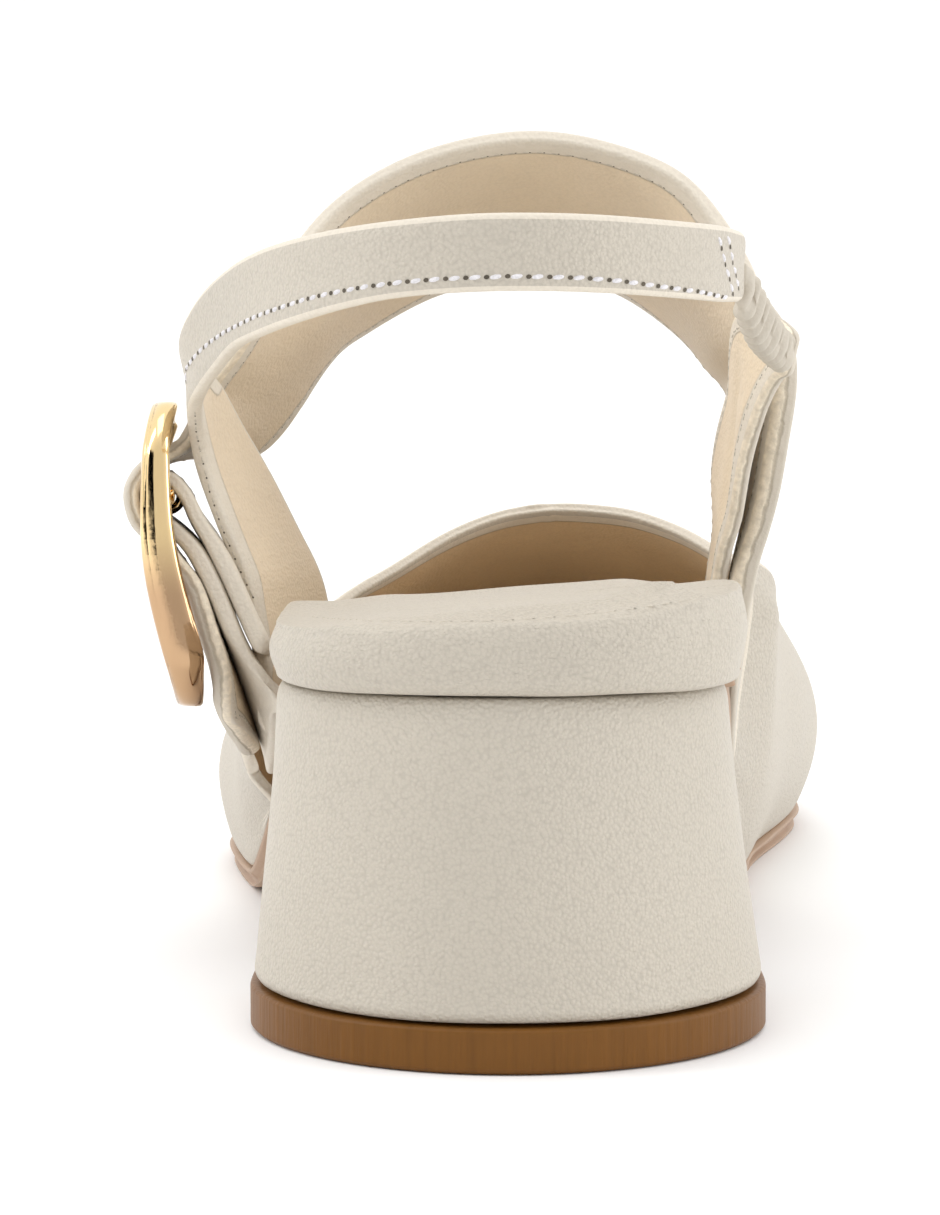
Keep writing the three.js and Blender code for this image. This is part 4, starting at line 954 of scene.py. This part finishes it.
def crown_footbed(bm):
    """Raises the footbed's top in a wavy crown, and in a rumpled patch at the photograph's right"""
    faces_up = 0.3
    crown = 1.5 * MM
    half_width = 23
    wave_height, wave_length, wave_start = 0.25, 7.5, 0.6
    patch_x, patch_back = 18.3, 15
    patch_width, patch_depth = 4.2, 4.5
    patch_height, rumple_height = 1.7, 1.1
    for vert in bm.verts:
        if vert.normal.z < faces_up:
            continue
        x, back = vert.co.x / MM, vert.co.y / MM - HEEL_BACK
        inside = fade(half_width - abs(x + 1), 0, 9) * fade(back, 3, 12) * (1 - fade(back, 45, 75))
        wave = 1 + wave_height * math.sin(x / wave_length + wave_start)
        vert.co.z += crown * inside * wave
        patch = math.exp(-((x - patch_x) / patch_width) ** 2 - ((back - patch_back) / patch_depth) ** 2)
        rumple = noise.noise(Vector((x * 0.55, back * 0.4, 3.1)))
        vert.co.z += MM * patch * (patch_height + rumple_height * rumple)


def make_footbed():
    sizes = bpy.context.scene.shoe_sizes
    bm = smoothed(merged_copy("footbed"), 3, "footbed_shape")
    crown_footbed(bm)
    up = Vector((0, 0, 1))
    seam = seen_line(RIM_SEAM)
    crease(bm, seam, width=0.9 * MM, depth=0.8 * MM, side=up)
    for spot in DENT_STARTS:
        start = Vector(spot) * MM
        crease(bm, [start, start + Vector(DENT_RUN) * MM], width=0.9 * MM, depth=0.35 * MM, side=up)
    ripple(bm, 9 * MM, 0.3 * MM, (0.6, 0.6, 1.4), lambda spot: 1 - fade(spot.y, 0.03, 0.06))
    places = path_seam(bm, seam, sizes.stitch_pitch)
    piece = add_piece("footbed_cushion", bm, ["rim"], ["footbed"])
    stitches("rim_stitches", places, length=1.5 * MM, width=0.32 * MM, hole=0.4)


def make_vamp():
    """The vamp. Its rear part on the inner side is laid on the instep strap, and the upper corner
    there is moved in and down."""
    widest_gap = 4.5 * MM
    outer_lift = 0.3 * MM
    inner_lift = 0.05 * MM
    corner_in = 1.1 * MM
    corner_down = 1.4 * MM
    bm = merged_copy("vamp")
    sort_faces(bm, vamp_axis)
    strap = BVHTree.FromBMesh(merged_copy("instep_strap"))
    for vert in bm.verts:
        on_strap = fade(vert.co.x, 0.02, 0.026) * (1 - fade(vert.co.y, 0.0745, 0.083))
        spot, normal, _, gap = strap.find_nearest(vert.co)
        if on_strap > 0 and gap <= widest_gap:
            lift = outer_lift if vert.normal.x > 0 else inner_lift
            vert.co = vert.co.lerp(spot + normal * lift, on_strap)
        at_corner = fade(vert.co.x, 0.028, 0.032) * (1 - fade(vert.co.y, 0.092, 0.102))
        vert.co.x -= corner_in * at_corner * fade(vert.co.z, 0.046, 0.051)
        at_tip = at_corner * fade(vert.co.z, 0.046, 0.05) * fade(vert.co.x, 0.033, 0.036)
        vert.co.z -= corner_down * at_tip
    bm = smoothed(bm, 2, "vamp_shape")
    measure_edges(bm)
    # painted light: the vamp's lining and its turned edges are painted lighter
    add_piece("vamp_leather", bm, ["cream", "vamp_lining_painted_light", "turned"], ["vamp"])


# The sling: the seam along it, the two rows at its end, and the seam and folds of its quarter
SLING_SEAM = [
    (727, 297.5, 29), (700, 291.5, 17), (657, 285.5, 8.5), (620, 280.5, 4), (583, 277.5, 1.7),
    (550, 276.5, 1), (516, 276, 0.5), (480, 276.8, 1), (440, 278.6, 2.1), (401, 281.8, 4),
    (365, 286.5, 7), (329.6, 293, 12.7), (304, 299.5, 17), (278.6, 308, 23), (258, 315.5, 28.5),
    (240, 324, 34.5), (225, 332, 39.5), (212, 341, 44), (202, 349.5, 49), (194, 358, 53),
    (187, 368.5, 56), (181.6, 381, 58)]
SLING_END_ROWS = [
    [(716, 233, 19.5), (723, 262, 24), (731, 292, 28)],
    [(725, 232, 22), (731, 262, 26), (738, 294, 30)],
]
OUTER_QUARTER_SEAM = [
    (195.5, 409, 60), (197, 432, 64), (202, 456, 66), (210, 490, 67), (220, 522, 68),
    (238, 566, 68.5), (256, 604, 70)]
OUTER_QUARTER_DENT = [(221, 395, 70), (231, 432, 71), (243, 480, 73), (256, 530, 75), (272, 585, 77)]
OUTER_QUARTER_RIDGE = [(232, 420, 74), (252, 470, 76), (274, 520, 80), (296, 575, 84)]


def make_sling():
    """The sling and its quarter, whose low part leans outwards. In the quarter's front part the lining
    reaches the edge, with no leather turned over it."""
    outer_side = -20 * MM
    low_height = 52 * MM
    lean = 0.3
    past_margin = 3 * MM
    sizes = bpy.context.scene.shoe_sizes
    bm = merged_copy("sling_strap")
    sort_faces(bm, foot_axis)
    for vert in bm.verts:
        if vert.co.x < outer_side:
            low = max(0.0, low_height - vert.co.z) * fade(vert.co.z, 0.024, 0.032)
            vert.co.x -= lean * low * (1 - fade(vert.co.y, 0.048, 0.07))
    bm = smoothed(bm, 2, "sling_shape")
    out = Vector((-0.8, -0.5, 0.1)).normalized()
    crease(bm, seen_line(OUTER_QUARTER_DENT), width=2.4 * MM, depth=1.1 * MM, side=out)
    crease(bm, seen_line(OUTER_QUARTER_RIDGE), width=2.8 * MM, depth=-0.9 * MM, side=out)
    measure_edges(bm)
    near_edge = bm.verts.layers.float["edge"]
    for vert in bm.verts:
        if vert.co.x < outer_side:
            vert[near_edge] += past_margin * fade(vert.co.y, 0.046, 0.05)
    places = []
    for row in [SLING_SEAM, *SLING_END_ROWS]:
        places += path_seam(bm, seen_line(row), sizes.stitch_pitch)
    quarter_places = path_seam(bm, seen_line(OUTER_QUARTER_SEAM), sizes.lining_stitch_pitch)
    add_piece("sling_leather", bm, ["cream", "lining", "turned"], ["sling_strap"])
    stitches("sling_stitches", places, 1.9 * MM, sizes.thread_width, slant=0.14, thread="thread")
    stitches("leaf_stitches", quarter_places, length=1.2 * MM, width=0.28 * MM)


def make_elastic():
    """The gathered elastic: slimmer than its room, with ridges that bow across it"""
    slim = 0.72
    ridges = 11
    bow = 0.35
    bow_width = 4 * MM
    swelling, ridge_height = 0.35, 0.42
    bm = smoothed(merged_copy("sling_elastic"), 3, "elastic_shape")
    start, end = seen(738, 296, 31), seen(783, 356, 51)
    run = end - start
    for vert in bm.verts:
        share = (vert.co - start).dot(run) / run.length_squared
        middle = start + run * share
        vert.co = middle + (vert.co - middle) * slim
        side = (vert.co - middle).length / bow_width
        wave = math.sin(2 * math.pi * (share * ridges + bow * side * side))
        between_ends = fade(share, -0.1, 0.1) * (1 - fade(share, 0.92, 1.05))
        vert.co += vert.normal * MM * (swelling + ridge_height * wave) * between_ends
    add_piece("elastic_gathers", bm, ["elastic"], ["sling_elastic"])


INNER_QUARTER_DENT = [(738, 350, 66), (742, 400, 70), (736, 450, 72), (730, 500, 72), (728, 560, 72)]
INNER_QUARTER_RIDGE = [(752, 390, 62), (748, 430, 66), (742, 480, 68)]


def make_quarter():
    """The folded quarter on the inner side, with a seam along its lining above the footbed's rim"""
    above_rim = 50 * MM
    sizes = bpy.context.scene.shoe_sizes
    bm = merged_copy("medial_quarter")
    sort_faces(bm, foot_axis)
    bm = smoothed(bm, 3, "quarter_shape")
    side = Vector((-0.8, -0.6, 0))
    crease(bm, seen_line(INNER_QUARTER_DENT), width=1.8 * MM, depth=0.7 * MM, side=side)
    crease(bm, seen_line(INNER_QUARTER_RIDGE), width=1.3 * MM, depth=-0.5 * MM, side=side)
    measure_edges(bm)
    places = edge_seam(bm, LINING, 1.5 * MM, sizes.lining_stitch_pitch, lambda spot: spot.z > above_rim)
    add_piece("quarter_leather", bm, ["cream", "lining", "raw"], ["medial_quarter"])
    stitches("quarter_stitches", places, length=1.1 * MM, width=0.26 * MM)


STRAP_CREASE = [(575, 148, 86), (571, 165, 88), (577, 182, 91), (562, 208, 96)]


def make_instep_strap():
    """The instep strap. Its layers by the buckle swell. Its back part on the inner side is moved in,
    more on the lining's side, and out again in a soft belly. Its edge is turned high on the instep."""
    lining_in, outer_in = 1.6 * MM, 0.5 * MM
    belly = 1 * MM
    seam_back = 0.3 * MM
    lowest_stitch = 30 * MM
    lowest_turned = 90 * MM
    sizes = bpy.context.scene.shoe_sizes
    bm = merged_copy("instep_strap")
    sort_faces(bm, foot_axis)
    swell(bm, sizes.layer_swell, lambda spot: fade(-spot.x, 0.028, 0.036) * (1 - fade(spot.z, 0.05, 0.058)))
    for vert in bm.verts:
        share = fade(vert.co.x, 0.02, 0.03) * (1 - fade(vert.co.y, 0.05, 0.06)) * fade(vert.co.z, 0.04, 0.05)
        on_lining = any(face.material_index == LINING for face in vert.link_faces)
        vert.co.x -= share * (lining_in if on_lining else outer_in)
        vert.co.x += share * fade(vert.co.z, 0.053, 0.062) * (1 - fade(vert.co.z, 0.074, 0.086)) * belly
    bm = smoothed(bm, 2, "instep_shape")
    underside = Vector((0, -0.3, -1)).normalized()
    crease(bm, seen_line(STRAP_CREASE), width=0.8 * MM, depth=0.5 * MM, side=underside)
    measure_edges(bm)
    places = edge_seam(bm, LINING, sizes.lining_margin - seam_back, sizes.lining_stitch_pitch,
                       lambda spot: spot.z > lowest_stitch)
    # painted light: edge faces high on the instep take the turned leather, painted lighter than the cream
    for face in bm.faces:
        if face.material_index == EDGE and face.calc_center_median().z > lowest_turned:
            face.material_index = TURNED_EDGE
    add_piece("instep_strap_leather", bm, ["cream", "lining", "raw", "turned"],
              ["instep_strap"])
    stitches("instep_lining_stitches", places, length=1.1 * MM, width=0.26 * MM)


def make_chape():
    """The loop round the buckle's bar. Its layers swell, and the end of one is drawn down and in."""
    end_top, end_tip = Vector((-36.4, 50.6)) * MM, Vector((-33.8, 45.6)) * MM
    end_width = 1.8 * MM
    pull = Vector((0.9, 0, -2.4)) * MM
    furthest = 1.2
    sizes = bpy.context.scene.shoe_sizes
    bm = merged_copy("buckle_chape")
    swell(bm, sizes.layer_swell, lambda spot: 1 - fade(spot.z, 0.054, 0.06))
    run = end_tip - end_top
    for vert in bm.verts:
        spot = Vector((vert.co.x, vert.co.z)) - end_top
        share = spot.dot(run) / run.length_squared
        if share > 0 and (spot - run * share).length < end_width:
            vert.co += pull * min(share, furthest)
    bm = smoothed(bm, 2, "chape_shape")
    # painted light: the whole loop takes the turned leather, painted lighter than the cream
    add_piece("buckle_chape_leather", bm, ["turned"], ["buckle_chape"])


# The buckle's face is measured in level bands, whose limits are evened a number of times
BANDS = 24
EVEN_ROUNDS = 12


def measure_across(bm):
    """Gives each point of the buckle its place across the side that the camera sees, from -1 to 1"""
    to_camera = 0.4
    least_half = 0.3 * MM
    layer = bm.verts.layers.float.new("across")
    bottom = min(vert.co.z for vert in bm.verts)
    step = (max(vert.co.z for vert in bm.verts) - bottom) / BANDS
    middle = sum(vert.co.y for vert in bm.verts) / len(bm.verts)
    limits = [[] for _ in range(BANDS + 1)]
    for vert in bm.verts:
        if vert.co.y < middle and vert.normal.dot((CAMERA_SPOT - vert.co).normalized()) > to_camera:
            limits[round((vert.co.z - bottom) / step)].append(vert.co.x)
    full = [k for k in range(BANDS + 1) if limits[k]]
    nearest = [min(full, key=lambda other: abs(other - k)) for k in range(BANDS + 1)]
    lows = [min(limits[k]) for k in nearest]
    highs = [max(limits[k]) for k in nearest]
    for _ in range(EVEN_ROUNDS):
        for row in (lows, highs):
            row[1:-1] = [(row[k - 1] + 2 * row[k] + row[k + 1]) / 4 for k in range(1, BANDS)]
    for vert in bm.verts:
        place = (vert.co.z - bottom) / step
        under = min(int(place), BANDS - 1)
        low = lows[under] + (lows[under + 1] - lows[under]) * (place - under)
        high = highs[under] + (highs[under + 1] - highs[under]) * (place - under)
        half = max((high - low) / 2, least_half)
        vert[layer] = min(1.0, max(-1.0, (vert.co.x - low - half) / half))


def make_buckle():
    ring = smoothed(merged_copy("buckle_frame"), 2, "frame_shape")
    measure_across(ring)
    add_piece("buckle_ring", ring, ["gold"], ["buckle_frame"])
    pin = smoothed(merged_copy("buckle_prong"), 2, "prong_shape")
    add_piece("buckle_pin", pin, ["gold"], ["buckle_prong"])


# Stage


# How much stronger the softbox on the outer side is than the one on the inner side
OUTER_FILL = 1.3


def softbox(name, place, aim, size, power):
    """A rectangular light that looks at a point"""
    data = bpy.data.lights.new(name, "AREA")
    data.shape = "RECTANGLE"
    data.size, data.size_y = size
    data.energy = power
    obj = bpy.data.objects.new(name, data)
    obj.location = place
    obj.rotation_euler = (Vector(aim) - Vector(place)).to_track_quat("-Z", "Y").to_euler()
    bpy.context.scene.collection.objects.link(obj)


def make_floor():
    half_width = 12.0
    bm = bmesh.new()
    bmesh.ops.create_grid(bm, x_segments=1, y_segments=1, size=half_width)
    mesh = bpy.data.meshes.new("floor")
    bm.to_mesh(mesh)
    bm.free()
    floor = bpy.data.objects.new("floor", mesh)
    mesh.materials.append(finish("floor"))
    bpy.context.scene.collection.objects.link(floor)


def make_surroundings(settings):
    """White surroundings, weaker behind the camera, with a dark patch that the buckle mirrors"""
    world = bpy.data.worlds.new("White surroundings")
    world.use_nodes = True
    tree = world.node_tree
    sky = tree.nodes["Background"]
    sky.inputs["Color"].default_value = (1, 1, 1, 1)
    parts = tree.nodes.new("ShaderNodeSeparateXYZ")
    tree.links.new(tree.nodes.new("ShaderNodeTexCoord").outputs["Generated"], parts.inputs["Vector"])
    strength = ramp(tree, parts.outputs["Y"], -0.95, -0.1, settings.sky_behind, settings.sky)
    outer = ramp(tree, parts.outputs["X"], -0.55, -0.62)
    behind = ramp(tree, parts.outputs["Y"], -0.3, -0.2, to_low=1.0, to_high=0.0)
    level = band(tree, parts.outputs["Z"], (-0.3, -0.2), (0.3, 0.4))
    patch = math_node(tree, "MULTIPLY", math_node(tree, "MULTIPLY", outer, behind), level)
    lit = math_node(tree, "MULTIPLY", strength, math_node(tree, "SUBTRACT", 1.0, patch))
    tree.links.new(lit, sky.inputs["Strength"])
    bpy.context.scene.world = world


def make_camera(settings):
    """The photograph's view"""
    camera = bpy.data.cameras.new("Camera")
    camera.sensor_fit = "AUTO"
    camera.sensor_width = 36.0
    camera.lens = settings.lens
    camera.clip_start = 0.01
    camera.clip_end = 50.0
    obj = bpy.data.objects.new("Camera", camera)
    heel_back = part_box("heel_top_piece")[0][1]
    obj.location = (0, heel_back - settings.camera_back, settings.camera_height)
    obj.rotation_euler = (math.pi / 2 - settings.camera_pitch, 0, settings.camera_yaw)
    scene = bpy.context.scene
    scene.collection.objects.link(obj)
    scene.camera = obj
    scene.view_settings.view_transform = "Standard"


def make_stage():
    settings = bpy.context.scene.stage_settings
    make_floor()
    make_surroundings(settings)
    middle = (0, 0.05, 0.05)
    softbox("Key softbox", (-0.2, 0.0, 1.2), middle, (0.9, 0.7), settings.key)
    softbox("Inner side softbox", (1.0, -0.1, 0.5), middle, (0.4, 0.9), settings.fill)
    softbox("Outer side softbox", (-1.0, -0.1, 0.7), middle, (0.3, 0.9), settings.fill * OUTER_FILL)
    make_camera(settings)


# Add-on


class SHOE_OT_make_stage(bpy.types.Operator):
    """Makes the floor, the lights and the camera"""

    bl_idname = "shoe.make_stage"
    bl_label = "Stage"

    def execute(self, context):
        make_stage()
        return {"FINISHED"}


class SHOE_OT_make_sole(bpy.types.Operator):
    """Dresses the outsole"""

    bl_idname = "shoe.make_sole"
    bl_label = "Sole"

    def execute(self, context):
        make_sole()
        return {"FINISHED"}


class SHOE_OT_make_heel(bpy.types.Operator):
    """Dresses the heel block and its top piece"""

    bl_idname = "shoe.make_heel"
    bl_label = "Heel"

    def execute(self, context):
        make_heel()
        return {"FINISHED"}


class SHOE_OT_make_footbed(bpy.types.Operator):
    """Makes the footbed with its padded rim"""

    bl_idname = "shoe.make_footbed"
    bl_label = "Footbed"

    def execute(self, context):
        make_footbed()
        return {"FINISHED"}


class SHOE_OT_make_vamp(bpy.types.Operator):
    """Makes the closed toe with its lining"""

    bl_idname = "shoe.make_vamp"
    bl_label = "Vamp"

    def execute(self, context):
        make_vamp()
        return {"FINISHED"}


class SHOE_OT_make_sling(bpy.types.Operator):
    """Makes the slingback strap, its elastic and the inner quarter"""

    bl_idname = "shoe.make_sling"
    bl_label = "Sling"

    def execute(self, context):
        make_sling()
        make_elastic()
        make_quarter()
        return {"FINISHED"}


class SHOE_OT_make_instep_strap(bpy.types.Operator):
    """Makes the wide strap and its seams"""

    bl_idname = "shoe.make_instep_strap"
    bl_label = "Instep strap"

    def execute(self, context):
        make_instep_strap()
        return {"FINISHED"}


class SHOE_OT_make_buckle(bpy.types.Operator):
    """Makes the gold buckle and the leather loop round its bar"""

    bl_idname = "shoe.make_buckle"
    bl_label = "Buckle"

    def execute(self, context):
        make_chape()
        make_buckle()
        return {"FINISHED"}


OPERATORS = [
    SHOE_OT_make_stage,
    SHOE_OT_make_sole,
    SHOE_OT_make_heel,
    SHOE_OT_make_footbed,
    SHOE_OT_make_vamp,
    SHOE_OT_make_sling,
    SHOE_OT_make_instep_strap,
    SHOE_OT_make_buckle,
]


class SHOE_PT_panel(bpy.types.Panel):
    """Lists the shoe's pieces, sizes and colours"""

    bl_label = "Slingback Shoe"
    bl_idname = "SHOE_PT_panel"
    bl_space_type = "VIEW_3D"
    bl_region_type = "UI"
    bl_category = "Shoe"

    def draw(self, context):
        for group in (context.scene.shoe_sizes, context.scene.shoe_colours, context.scene.stage_settings):
            for name in group.__annotations__:
                self.layout.prop(group, name)
        for maker in OPERATORS:
            self.layout.operator(maker.bl_idname)


CLASSES = [ShoeSizes, ShoeColours, StageSettings, *OPERATORS, SHOE_PT_panel]


def register():
    for cls in CLASSES:
        bpy.utils.register_class(cls)
    bpy.types.Scene.shoe_sizes = bpy.props.PointerProperty(type=ShoeSizes)
    bpy.types.Scene.shoe_colours = bpy.props.PointerProperty(type=ShoeColours)
    bpy.types.Scene.stage_settings = bpy.props.PointerProperty(type=StageSettings)


def unregister():
    del bpy.types.Scene.stage_settings
    del bpy.types.Scene.shoe_colours
    del bpy.types.Scene.shoe_sizes
    for cls in reversed(CLASSES):
        bpy.utils.unregister_class(cls)


def main():
    register()
    for maker in OPERATORS:
        name = maker.bl_idname.split(".")[1]
        getattr(bpy.ops.shoe, name)()


if __name__ == "__main__":
    main()
